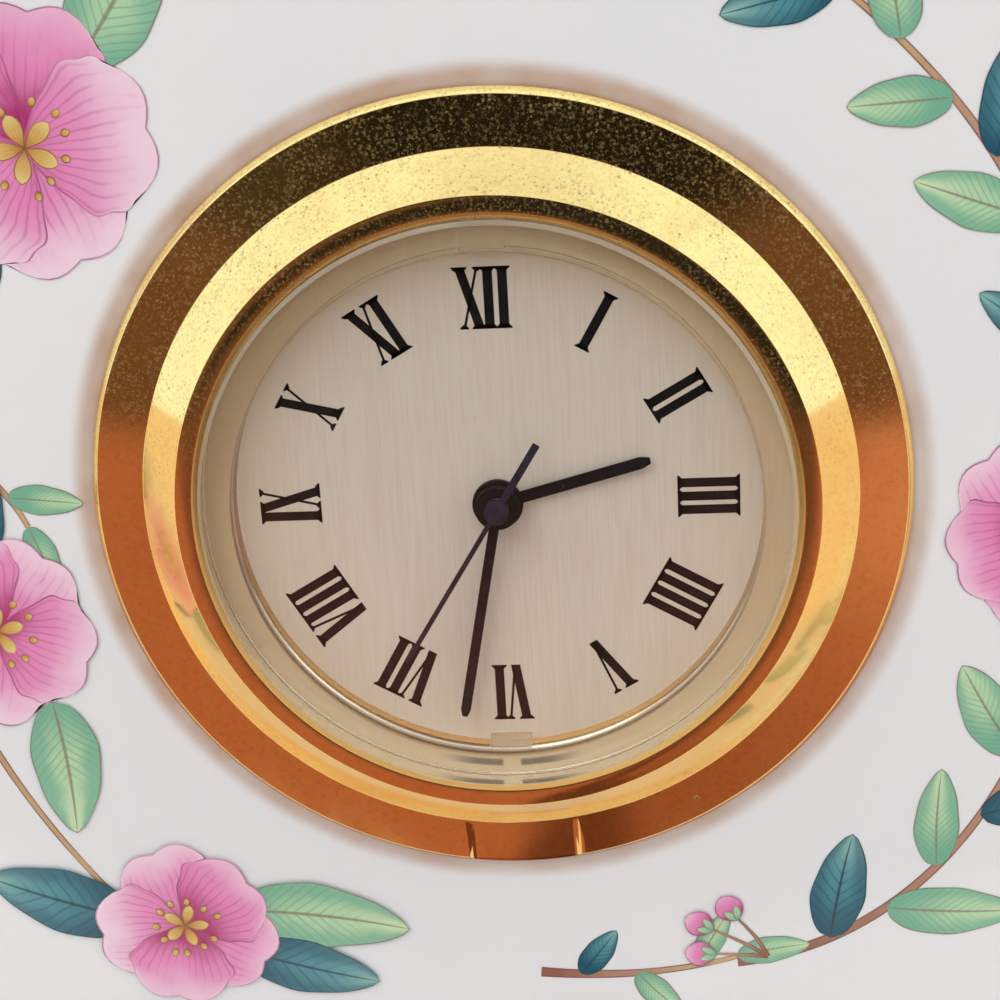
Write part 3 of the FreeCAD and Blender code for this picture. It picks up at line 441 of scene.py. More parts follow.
@dataclass(frozen=True)
class GoldPlate(Finish):
    """Polished gold plate with settled dust, small pits and finger smears, duller inside the crown."""

    gold: Colour = (1.0, 0.71, 0.27, 1.0)
    worn: Colour = (0.92, 0.56, 0.2, 1.0)
    tarnish: Colour = (0.72, 0.4, 0.13, 1.0)
    dirt: Colour = srgb(124, 102, 72)
    painted_rim_reflection: Colour = (0.62, 0.2, 0.05, 1.0)
    amber: Colour = (1.0, 0.6, 0.19, 1.0)
    rim: Span = (0.02462, 0.02475)
    cone: Tuple[Span, Span] = ((0.0193, 0.0194), (0.0203, 0.0212))
    lip: Tuple[Span, Span] = ((0.0179, 0.01795), (0.01825, 0.01832))

    def settled(self, tree: Tree, centred: Socket, up: Socket) -> Socket:
        """A mask of the dust, which has settled in patches, most of it on the upper half."""
        specks = tree.effect(DUST, centred, Density=2700.0, Share=0.6, Size=0.23)
        fine = tree.effect(DUST, centred, Density=4300.0, Share=0.5, Size=0.3)
        haze = tree.noise(centred, scale=4600.0, detail=3.0, roughness=0.6)
        patches = tree.noise(centred, scale=420.0, detail=4.0)
        film = tree.step(haze, (0.48, 0.72), (0.0, 0.4))
        return tree.times(
            tree.most(tree.times(specks, 0.65), tree.times(fine, 0.35), film),
            tree.step(up, (-0.006, 0.018), (0.12, 1.0)),
            tree.step(patches, (0.3, 0.65), (0.25, 0.95)),
        )

    def surface(self, tree: Tree) -> Sockets:
        """Gold, with painted reflections, amber on its cone and red-brown on its rim, on the lower half."""
        centred = tree.centred()
        up = tree.split(centred)[2]
        reach = tree.radius(centred)
        smear = tree.effect(SMUDGES, centred, Density=170.0)
        pits = tree.effect(DUST, centred, Density=520.0, Share=0.1, Size=0.13)
        settled = self.settled(tree, centred, up)
        stains = tree.noise(centred, scale=2600.0, detail=3.0, roughness=0.6)
        # Painted reflection: on the lower half the cone takes amber and the rim red-brown, for the warmer,
        # darker surroundings that they mirror.
        lower = tree.step(up, (-0.014, 0.004), (0.95, 0.0))
        lip = tree.times(tree.band(reach, *self.lip), tree.step(up, (-0.012, 0.006), (1.0, 0.4)))
        rough = tree.plus(tree.times(smear, 0.07), 0.075)
        rough = tree.plus(rough, tree.times(tree.most(settled, pits), 0.45), True)
        film = tree.noise(centred, scale=900.0, detail=3.0)
        relief = tree.minus(tree.times(film, 0.12), tree.times(pits, 0.8))
        return {
            "Base Color": tree.layers(
                self.gold,
                (tree.times(smear, 0.45), self.worn),
                (tree.step(stains, (0.45, 0.72), (0.0, 0.3)), self.tarnish),
                (tree.most(settled, tree.times(pits, 0.7)), self.dirt),
                (tree.times(tree.band(reach, *self.cone), lower), self.amber),
                (tree.times(tree.step(reach, self.rim), lower), self.painted_rim_reflection),
                (lip, self.amber),
            ),
            "Metallic": tree.minus(1.0, tree.times(tree.most(settled, lip), 0.6), True),
            "Roughness": tree.most(rough, tree.times(lip, 0.5)),
            "Normal": tree.bump(relief, strength=0.25, distance=0.00003),
        }


@dataclass(frozen=True)
class ClearAcrylic(Finish):
    """Clear moulded acrylic, warmer and frosted at its skirt, with two short painted shadows beside the lower
    tab.
    """

    tint: Colour = (1.0, 0.985, 0.955, 1.0)
    deep: Colour = (1.0, 0.93, 0.77, 1.0)
    shade: Colour = (0.2, 0.19, 0.17, 1.0)
    cast: Colour = (0.99, 0.985, 0.975, 1.0)
    skirt: Span = (0.0157, 0.0161)
    wall: Tuple[Span, Span] = ((0.0157, 0.0159), (0.0161, 0.0163))
    tab_side: Span = (0.0013, 0.0015)
    tab_reach: Span = (0.0151, 0.0154)
    tab_depth: Span = (-0.0016, -0.0014)
    dash_side: Tuple[Span, Span] = ((0.0005, 0.0006), (0.002, 0.005))
    dash_reach: Tuple[Span, Span] = ((0.0169, 0.017), (0.0173, 0.0175))
    dash_depth: Span = (-0.0006, -0.0005)
    dash_height: Span = (-0.001, 0.0)

    def surface(self, tree: Tree) -> Sockets:
        """Clear plastic with a few specks of lint, and two painted shadows beside the lower tab."""
        centred = tree.centred()
        across, forward, up = tree.split(centred)
        aside = tree.size(across)
        reach = tree.radius(centred)
        lint = tree.effect(DUST, centred, Density=700.0, Share=0.05, Size=0.1)
        flow = tree.noise(centred, scale=240.0, detail=2.0)
        tab = tree.times(
            tree.step(aside, self.tab_side, FALL),
            tree.step(reach, self.tab_reach),
            tree.step(forward, self.tab_depth),
        )
        # Painted shadow: two short dark marks beside the lower tab, where the dark gap at the dial's edge would
        # show through the skirt.
        painted_dash_shadow = tree.times(
            tree.band(aside, *self.dash_side),
            tree.band(reach, *self.dash_reach),
            tree.step(forward, self.dash_depth),
            tree.step(up, self.dash_height, (0.9, 0.0)),
        )
        frosted = tree.most(tree.times(tree.band(reach, *self.wall), 0.2), tree.times(tab, 0.3))
        wiped = tree.plus(tree.times(lint, 0.3), frosted)
        return {
            "Base Color": tree.layers(
                self.tint,
                (tree.step(reach, self.skirt), self.deep),
                (painted_dash_shadow, self.shade),
            ),
            "Roughness": tree.plus(wiped, 0.012),
            "IOR": 1.49,
            "Specular IOR Level": 0.12,
            "Transmission Weight": 1.0,
            "Normal": tree.bump(flow, strength=0.03, distance=0.0001),
        }

    def cover(self, tree: Tree, shader: Socket) -> Socket:
        """Lets shadow rays through to the dial."""
        clear = tree.add("ShaderNodeBsdfTransparent", {"Color": self.cast}).outputs[0]
        return tree.blend(tree.rays()["Is Shadow Ray"], shader, clear)


@dataclass(frozen=True)
class BrushedDial(Finish):
    """Champagne dial metal, brushed from 12 to 6, under a thin lacquer."""

    light: Colour = srgb(253, 249, 240)
    dark: Colour = srgb(245, 237, 224)
    edge: Colour = srgb(244, 229, 208)
    lint: Colour = srgb(232, 222, 205)
    shaded_outskirts: Span = (0.011, 0.0185)

    def surface(self, tree: Tree) -> Sockets:
        """Fine and broad brush lines, and a warmer tone towards the edge that is partly painted shade under the
        crystal's skirt.
        """
        centred = tree.centred()
        streaks = tree.effect(BRUSHING, centred, Across=8500.0)
        broad = tree.effect(BRUSHING, centred, Across=2200.0)
        tone = tree.plus(tree.times(streaks, 0.8), tree.times(broad, 0.2))
        lint = tree.effect(DUST, centred, Density=900.0, Share=0.06, Size=0.12)
        return {
            "Base Color": tree.layers(
                self.dark,
                (tree.step(tone, SWING), self.light),
                # Towards the edge: a warmer tone, and darker as painted shade under the skirt.
                (tree.step(tree.radius(centred), self.shaded_outskirts, (0.0, 0.55)), self.edge),
                (tree.times(lint, 0.5), self.lint),
            ),
            "Metallic": 0.08,
            "Roughness": tree.step(streaks, SWING, (0.4, 0.55)),
            "Anisotropic": 0.6,
            "Normal": tree.bump(streaks, strength=0.1, distance=0.00002),
        }


@dataclass(frozen=True)
class Paint(Finish):
    """Thin paint or print: hands, cap and numerals."""

    colour: Colour = srgb(18, 16, 22)
    roughness: float = 0.55
    lint: Colour = srgb(112, 106, 112)

    def surface(self, tree: Tree) -> Sockets:
        """Mottled paint with a little lint."""
        place = tree.place()
        mottle = tree.noise(place, scale=1600.0, detail=4.0)
        lint = tree.effect(DUST, place, Density=1500.0, Share=0.08, Size=0.16)
        return {
            "Base Color": tree.layers(
                self.colour,
                (tree.step(mottle, (0.3, 0.75), (0.0, 0.6)), paler(self.colour, 1.7, 0.01)),
                (tree.times(lint, 0.4), self.lint),
            ),
            "Roughness": tree.step(mottle, SWING, (self.roughness - 0.07, self.roughness + 0.08)),
            "Specular IOR Level": 0.16,
            "Normal": tree.bump(mottle, strength=0.12, distance=0.00002),
        }


@dataclass(frozen=True)
class Moulded(Finish):
    """A plastic moulding with fine grain, slight flow marks and some dust."""

    colour: Colour = srgb(34, 33, 34)
    roughness: float = 0.45
    grain: float = 0.25
    dust: Colour = srgb(150, 144, 136)

    def surface(self, tree: Tree) -> Sockets:
        """Grain over flow marks."""
        place = tree.place()
        height = tree.effect(GRAIN, place, Density=4200.0)
        flow = tree.noise(tree.stretch(place, (1.0, 1.0, 0.35)), scale=110.0, detail=3.0)
        dust = tree.effect(DUST, place, Density=1400.0, Share=0.12, Size=0.12)
        return {
            "Base Color": tree.layers(
                self.colour,
                (tree.step(flow, (0.35, 0.7)), paler(self.colour, 1.22, 0.012)),
                (tree.times(dust, 0.4), self.dust),
            ),
            "Roughness": tree.step(height, SWING, (self.roughness - 0.08, self.roughness + 0.1)),
            "Normal": tree.bump(height, strength=self.grain, distance=0.00004),
        }


@dataclass(frozen=True)
class TurnedMetal(Finish):
    """Bare or plated metal with lathe rings, faint stains and soft wear."""

    colour: Colour = (0.62, 0.62, 0.61, 1.0)
    roughness: float = 0.24
    stain: Colour = (0.42, 0.38, 0.33, 1.0)

    def surface(self, tree: Tree) -> Sockets:
        """Rings and smears."""
        centred = tree.centred()
        rings = tree.effect(TURNING, centred, Pitch=14000.0)
        smear = tree.effect(SMUDGES, centred, Density=420.0)
        rough = tree.plus(tree.times(smear, 0.14), self.roughness)
        return {
            "Base Color": tree.mix(tree.times(smear, 0.5), self.colour, self.stain),
            "Metallic": 1.0,
            "Roughness": tree.plus(rough, tree.times(rings, 0.06)),
            "Normal": tree.bump(rings, strength=0.2, distance=0.00001),
        }


@dataclass(frozen=True)
class Winding(Finish):
    """Enamelled copper wire in close turns across the coil."""

    copper: Colour = (0.72, 0.27, 0.11, 1.0)
    shade: Colour = (0.20, 0.05, 0.02, 1.0)
    pitch: float = 0.00012

    def surface(self, tree: Tree) -> Sockets:
        """Turns of wire, dark between them."""
        place = tree.place()
        turn = tree.math("SINE", tree.times(tree.split(place)[0], 2 * math.pi / self.pitch))
        return {
            "Base Color": tree.mix(tree.step(turn, (-0.9, 0.3)), self.shade, self.copper),
            "Metallic": 0.9,
            "Roughness": tree.step(tree.noise(place, scale=700.0), SWING, (0.2, 0.36)),
            "Normal": tree.bump(turn, strength=0.5, distance=0.00003),
        }


@dataclass(frozen=True)
class BoardResist(Finish):
    """Green solder resist over copper tracks."""

    green: Colour = srgb(26, 84, 48)
    track: Colour = srgb(52, 122, 66)
    woven: Colour = srgb(18, 60, 36)

    def surface(self, tree: Tree) -> Sockets:
        """Tracks that show through the resist, and the board's weave."""
        place = tree.place()
        cells = tree.add("ShaderNodeTexVoronoi", {"Vector": place, "Scale": 520.0}, distance="MANHATTAN")
        tracks = tree.step(cells.outputs["Distance"], (0.42, 0.5))
        weave = tree.noise(tree.stretch(place, (1.0, 1.0, 3.0)), scale=2600.0)
        return {
            "Base Color": tree.layers(
                self.green,
                (tracks, self.track),
                (tree.step(weave, (0.3, 0.8), (0.0, 0.35)), self.woven),
            ),
            "Roughness": tree.step(weave, SWING, (0.22, 0.4)),
            "Normal": tree.bump(tracks, strength=0.4, distance=0.00003),
        }


@dataclass(frozen=True)
class Rubber(Finish):
    """Soft dark rubber with a dull skin and dust in its lips."""

    colour: Colour = srgb(38, 37, 36)
    bloom: Colour = srgb(78, 75, 72)

    def surface(self, tree: Tree) -> Sockets:
        """A dull skin with a pale bloom."""
        place = tree.place()
        skin = tree.noise(place, scale=2200.0, detail=4.0)
        bloom = tree.effect(SMUDGES, place, Density=260.0)
        return {
            "Base Color": tree.mix(tree.times(bloom, 0.5), self.colour, self.bloom),
            "Roughness": tree.step(skin, SWING, (0.62, 0.82)),
            "Sheen Weight": 0.2,
            "Normal": tree.bump(skin, strength=0.3, distance=0.00004),
        }


@dataclass(frozen=True)
class Enamel(Finish):
    """A colour painted on the glaze: shaded along the shape, veined, with a fine outline."""

    base: Colour = srgb(176, 50, 110)
    middle: Colour = srgb(232, 140, 188)
    tip: Colour = srgb(246, 214, 228)
    line: Colour = srgb(158, 88, 128)
    veins: float = 13.0
    slant: float = 0.0
    vein_share: float = 0.36
    rib: float = 0.0
    outline: float = 0.13
    sides: float = 0.0

    def surface(self, tree: Tree) -> Sockets:
        """Shades by the sheet's UV map and by what the mesh says of outline and tone."""
        across, along, _ = tree.split(tree.add("ShaderNodeUVMap", uv_map="sheet").outputs[0])
        edge = tree.add("ShaderNodeAttribute", attribute_name="edge").outputs["Fac"]
        tone = tree.add("ShaderNodeAttribute", attribute_name="tone").outputs["Fac"]
        place = tree.place()
        cloud = tree.noise(place, scale=420.0, detail=3.0)
        drift = tree.minus(cloud, 0.5)
        offset = tree.minus(across, 0.5)
        side = tree.size(offset)
        run = tree.plus(along, tree.times(drift, 0.35))
        run = tree.plus(run, tree.times(tree.minus(tone, 0.5), 0.5))
        flank = tree.plus(side, tree.times(drift, 0.5))
        leaning = tree.plus(tree.times(along, self.slant), tree.times(side, self.slant * -0.45))
        fan = tree.times(offset, 0.0 if self.slant else self.veins)
        phase = tree.plus(tree.plus(fan, leaning), tree.times(cloud, 0.9))
        wave = tree.size(tree.minus(tree.math("FRACT", phase), 0.5))
        vein = tree.times(
            tree.step(wave, (0.02, 0.2), FALL),
            tree.step(tree.plus(along, drift), (0.4, 0.95), FALL),
            self.vein_share,
        )
        border = tree.step(edge, (self.outline * 0.45, self.outline), FALL)
        broken = tree.step(tree.noise(place, scale=300.0, detail=2.0), (0.32, 0.6), (0.4, 0.85))
        return {
            "Base Color": tree.layers(
                self.base,
                (tree.step(run, (0.02, 0.5)), self.middle),
                (tree.step(run, (0.45, 1.15)), self.tip),
                (tree.step(flank, (0.1, 0.42), (0.0, self.sides)), self.base),
                (vein, tree.mix(0.45, self.line, self.base)),
                (tree.times(tree.step(side, (0.012, 0.035), FALL), self.rib), self.line),
                (tree.times(border, broken), self.line),
            ),
            "Roughness": tree.step(cloud, SWING, (0.1, 0.15)),
            "IOR": 1.5,
            "Normal": tree.bump(cloud, strength=0.04, distance=0.0002),
        }


@dataclass(frozen=True)
class PaleFloor(Finish):
    """The floor: plain pale paper for the eye, and for glossy rays a glow of painted reflections, warm in front
    of the clock, that metal mirrors.
    """

    paper: Colour = srgb(226, 224, 221)
    fibre: Colour = srgb(222, 220, 217)
    painted_reflection_ramp: Tuple[Tuple[float, Colour], ...] = (
        (0.075, (0.8, 0.72, 0.62, 1)),
        (0.098, (0.44, 0.15, 0.095, 1)),
        (0.262, (0.43, 0.15, 0.097, 1)),
        (0.3125, (0.22, 0.085, 0.057, 1)),
        (0.40, (0.08, 0.05, 0.036, 1)),
        (0.45, (0.022, 0.018, 0.018, 1)),
    )
    streak: Colour = (0.05, 0.012, 0.006, 1)
    lit: Colour = (0.63, 0.27, 0.2, 1)
    flank: Colour = (0.15, 0.075, 0.048, 1)
    far: Colour = (0.028, 0.017, 0.012, 1)
    window: Colour = (1.0, 0.86, 0.76, 1)
    glint: Colour = (0.95, 0.8, 0.62, 1)

    def surface(self, tree: Tree) -> Sockets:
        """Pale paper."""
        paper = tree.noise(tree.place(), scale=60.0, detail=4.0)
        return {"Base Color": tree.mix(tree.step(paper, SWING), self.paper, self.fibre), "Roughness": 0.7}

    def cover(self, tree: Tree, shader: Socket) -> Socket:
        """Shows glossy rays a glow of painted reflections that darkens away from the clock, with a window's
        painted light at its sides.
        """
        across, along, _ = tree.split(tree.place())
        ahead = tree.times(along, -1.0)
        wide = tree.size(across)
        drawn = tree.times(wide, 0.8, tree.step(ahead, (0.1, 0.15)))
        run = tree.math("MULTIPLY", tree.minus(ahead, drawn), 2.5, True)
        drift = tree.times(across, tree.step(ahead, (0.065, 0.08), (1.0, 2.2)))
        streak = tree.minus(tree.step(across, (-0.003, 0.0)), tree.step(drift, (0.006, 0.012), (0.0, 0.55)))
        streak = tree.minus(streak, tree.step(drift, (0.014, 0.04), (0.0, 0.3)), True)
        near = tree.times(tree.step(ahead, (0.05, 0.075), (0.74, 0.8)), tree.step(ahead, (0.1, 0.14), FALL))
        lit = tree.times(tree.step(across, (0.03, 0.065)), tree.step(run, (0.25, 0.36), (0.85, 0.0)))
        flank = tree.times(tree.step(wide, (0.05, 0.11)), tree.step(ahead, (0.17, 0.24)))
        window = tree.times(tree.step(wide, (0.09, 0.26)), tree.step(ahead, (0.1, 0.17), FALL))
        inside = tree.minus(ahead, tree.times(wide, 0.45))
        glint = tree.times(tree.step(wide, (0.009, 0.01)), tree.step(inside, (0.0345, 0.0355), FALL))
        # Painted reflections: glossy rays see this glow in place of the floor, with painted dark streaks and
        # patches, a painted light patch, a window's painted light and a painted glint.
        mirrored = tree.layers(
            tree.ramp(run, self.painted_reflection_ramp),
            (tree.times(streak, near), self.streak),
            (lit, self.lit),
            (flank, self.flank),
            (tree.step(ahead, (1.0, 4.0)), self.far),
            (window, self.window),
            (glint, self.glint),
        )
        glow = tree.add("ShaderNodeEmission", {"Color": mirrored}).outputs[0]
        return tree.blend(tree.rays()["Is Glossy Ray"], shader, glow)


# ---------------------------------------------------------------- mesh work


def shade(bm: BMesh) -> None:
    """Smooths every face and keeps each edge sharp that bends by more than the limit."""
    for edge in bm.edges:
        edge.smooth = edge.calc_face_angle(0.0) < SMOOTH_LIMIT
    for face in bm.faces:
        face.smooth = True


def even(piece: Object) -> None:
    """Keeps large faces flat in their shading beside roundings."""
    piece.modifiers.new("even_shading", "WEIGHTED_NORMAL").keep_sharp = True


class Shape:
    """A bmesh being shaped in millimetres: x right, y up, z forward, from the axis and the bezel's back."""

    def __init__(self) -> None:
        """Starts an empty bmesh."""
        self.bm = bmesh.new()

    def lathe(self, outline: Sequence[Place], steps: int = 160, closed: bool = True) -> None:
        """Turns an outline round the clock's axis.

        Args:
            outline: Radius and height of each corner.
            steps: How many sides the turning has.
            closed: Whether the outline's last corner joins its first.
        """
        corners = [self.bm.verts.new((radius, 0.0, height)) for radius, height in outline]
        pairs = list(zip(corners, corners[1:] + (corners[:1] if closed else [])))
        edges = [self.bm.edges.new(pair) for pair in pairs]
        bmesh.ops.spin(
            self.bm, geom=corners + edges, cent=(0, 0, 0), axis=(0, 0, 1), dvec=(0, 0, 0),
            angle=2 * math.pi, steps=steps, use_merge=True, use_normal_flip=False, use_duplicate=False,
        )
        bmesh.ops.remove_doubles(self.bm, verts=self.bm.verts, dist=0.0001)
        bmesh.ops.recalc_face_normals(self.bm, faces=self.bm.faces)

    def plate(self, corners: Sequence[Place], low: float, high: float) -> None:
        """Raises a flat plate from its outline.

        Args:
            corners: The outline.
            low: Height of its back.
            high: Height of its front.
        """
        face = self.bm.faces.new([self.bm.verts.new((x, y, low)) for x, y in corners])
        raised = bmesh.ops.extrude_face_region(self.bm, geom=[face], use_keep_orig=True)["geom"]
        top = [item for item in raised if isinstance(item, BMVert)]
        bmesh.ops.translate(self.bm, verts=top, vec=(0, 0, high - low))
        bmesh.ops.recalc_face_normals(self.bm, faces=self.bm.faces)

    def soften(self, width: float, above: float, segments: int = 2) -> None:
        """Rounds every edge that is sharper than an angle.

        Args:
            width: The rounding's width.
            above: The least angle, in degrees.
            segments: The rounding's steps.
        """
        limit = math.radians(above)
        edges = [edge for edge in self.bm.edges if edge.is_manifold and edge.calc_face_angle(0.0) > limit]
        bmesh.ops.bevel(
            self.bm, geom=edges, offset=width, offset_type="OFFSET", segments=segments, profile=0.5,
            affect="EDGES", clamp_overlap=True, material=-1,
        )

    def turn(self, degrees: float, verts: Optional[Sequence[BMVert]] = None) -> None:
        """Turns vertices clockwise about the clock's axis.

        Args:
            degrees: How far.
            verts: The vertices; all of them where none are given.
        """
        matrix = Matrix.Rotation(-math.radians(degrees), 3, "Z")
        bmesh.ops.rotate(self.bm, verts=verts or self.bm.verts, cent=(0, 0, 0), matrix=matrix)

    def finish(self, name: str, materials: Sequence[Material], weighted: bool = False) -> Object:
        """Turns the bmesh into an object in the clock's place.

        Args:
            name: The object's name.
            materials: Its materials in slot order.
            weighted: Whether large faces keep their flat shading beside roundings.

        Returns:
            The object, at the origin, with its place in its mesh.
        """
        shade(self.bm)
        mesh = bpy.data.meshes.new(name)
        self.bm.to_mesh(mesh)
        self.bm.free()
        mesh.transform(CLOCK_TO_WORLD)
        for material in materials:
            mesh.materials.append(material)
        piece = bpy.data.objects.new(name, mesh)
        bpy.context.scene.collection.objects.link(piece)
        if weighted:
            even(piece)
        return piece


def combine(piece: Object, tool: Object, operation: str) -> None:
    """Cuts a tool from a piece or joins it on, for good, and shades the result evenly.

    Args:
        piece: The piece that is changed.
        tool: The tool, which is used up.
        operation: The Boolean's name, such as DIFFERENCE.
    """
    change = piece.modifiers.new("change", "BOOLEAN")
    change.object, change.operation, change.solver = tool, operation, "EXACT"
    graph = bpy.context.evaluated_depsgraph_get()
    mesh = bpy.data.meshes.new_from_object(piece.evaluated_get(graph))
    piece.modifiers.clear()
    piece.data = mesh
    bpy.data.objects.remove(tool)
    bm = bmesh.new()
    bm.from_mesh(mesh)
    bmesh.ops.remove_doubles(bm, verts=bm.verts, dist=1e-7)
    shade(bm)
    bm.to_mesh(mesh)
    bm.free()
    even(piece)


def settle(piece: Object, body: str, slot: str, *nodes: str) -> None:
    """Makes a piece ride on a body and hides the CAD nodes that it stands for.

    Args:
        piece: The finished object.
        body: The CAD body that it moves with.
        slot: The record's material slot; not used.
        *nodes: The CAD nodes that it replaces.
    """
    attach(piece, body)
    if nodes:
        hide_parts(*nodes)
    triangles = sum(len(face.vertices) - 2 for face in piece.data.polygons)
    log.info("%s rides on %s, %d triangles", piece.name, body, triangles)


# ---------------------------------------------------------------- the insert


@dataclass
class Bezel:
    """The stepped gold ring with its pull notch; its corners are radius and height."""

    outer: float = 25.0
    edge: float = 0.25
    rim: Place = (24.6, 0.75)
    riser_foot: Place = (21.68, 1.10)
    crown_outer: Place = (19.28, 3.25)
    crown_inner: Place = (18.30, 3.22)
    bore: Place = (17.95, 2.97)
    ledge: Place = (18.70, 1.05)
    ledge_back: float = 0.6
    spigot: Place = (19.83, -0.8)
    spigot_outer: float = 20.88
    rounding: float = 0.045
    notch_width: float = 7.3
    notch_side: float = 0.5
    notch_depth: float = 0.25
    notch_turn: float = 1.1
    notch_head: float = 5.0
    notch_start: float = 0.02
    notch_spare: float = 0.6

    def outline(self) -> List[Place]:
        """The ring's section, from the rim's foot forwards and back round the spigot."""
        return [
            (self.outer, 0.0), (self.outer, self.edge), self.rim, self.riser_foot, self.crown_outer,
            self.crown_inner, self.bore, (self.bore[0], self.ledge[1]), self.ledge,
            (self.ledge[0], self.ledge_back), (self.spigot[0], self.ledge_back), self.spigot,
            (self.spigot_outer, self.spigot[1]), (self.spigot_outer, 0.0),
        ]

    def notch(self) -> Object:
        """The tool that cuts the notch: a block with sloping sides, its foot along the flange's slope."""
        shape = Shape()
        slope = (self.riser_foot[1] - self.rim[1]) / (self.rim[0] - self.riser_foot[0])
        half = self.notch_width / 2 - self.notch_side
        grow = self.notch_side / self.notch_depth
        for radius in (self.riser_foot[0] + self.notch_start, self.outer + self.notch_spare):
            low = self.rim[1] - self.notch_depth - slope * (radius - self.rim[0])
            wide = half + grow * (self.notch_head - low)
            corners = [(-half, low), (half, low), (wide, self.notch_head), (-wide, self.notch_head)]
            shape.bm.faces.new([shape.bm.verts.new((x, -radius, z)) for x, z in corners])
        bmesh.ops.bridge_loops(shape.bm, edges=list(shape.bm.edges))
        bmesh.ops.recalc_face_normals(shape.bm, faces=shape.bm.faces)
        shape.turn(-self.notch_turn)
        return shape.finish("notch_tool", [])

    def build(self, gold: Material) -> None:
        """Turns the ring, rounds its edges a little and cuts the notch."""
        shape = Shape()
        shape.lathe(self.outline(), steps=240)
        shape.soften(self.rounding, above=18.0)
        piece = shape.finish("bezel_ring", [gold])
        combine(piece, self.notch(), "DIFFERENCE")
        settle(piece, "insert", "gold_plate", "bezel")


@dataclass
class Crystal:
    """The clear cup over the hands, with its skirt, locating flange and the two tabs of its moulding."""

    radius: float = 17.9
    top: float = 3.55
    under: float = 2.70
    bevel: float = 0.25
    skirt: float = 16.0
    foot: float = 0.32
    flange: float = 18.6
    flange_low: float = 0.6
    flange_high: float = 0.95
    rounding: float = 0.05
    tab_width: float = 2.6
    tab_depth: float = 0.5
    tab_height: float = 0.9
    tab_rounding: float = 0.06

    def outline(self) -> List[Place]:
        """The cup's section, from the middle of its front to the middle of its back."""
        return [
            (0.0, self.top), (self.radius - self.bevel, self.top), (self.radius, self.top - self.bevel),
            (self.radius, self.flange_high), (self.flange, self.flange_high), (self.flange, self.flange_low),
            (self.radius, self.flange_low), (self.radius, self.foot), (self.skirt, self.foot),
            (self.skirt, self.under), (0.0, self.under),
        ]

    def build(self, acrylic: Material) -> None:
        """Turns the cup and sets the two tabs in its skirt."""
        shape = Shape()
        shape.lathe(self.outline(), steps=192, closed=False)
        shape.soften(self.rounding, above=50.0)
        piece = shape.finish("crystal_cup", [acrylic])
        size = (self.tab_width, 2 * self.tab_depth, self.tab_height)
        for side in (-1, 1):
            block = Shape()
            middle = (0, side * self.skirt, self.foot + self.tab_height / 2)
            bmesh.ops.create_cube(block.bm, size=1.0, matrix=Matrix.LocRotScale(middle, None, size))
            block.soften(self.tab_rounding, above=50.0)
            combine(piece, block.finish("tab_tool", []), "UNION")
        settle(piece, "insert", "clear_acrylic", "crystal")


class Stroke(Enum):
    """The letters of Roman numerals up to twelve, as bars: x at the foot, x at the head, and width."""

    I = ((0.0, 0.0, THICK),)
    V = ((0.06, -0.5, THICK), (0.1, 0.52, THIN))
    X = ((0.53, -0.57, THICK), (-0.42, 0.48, THIN))


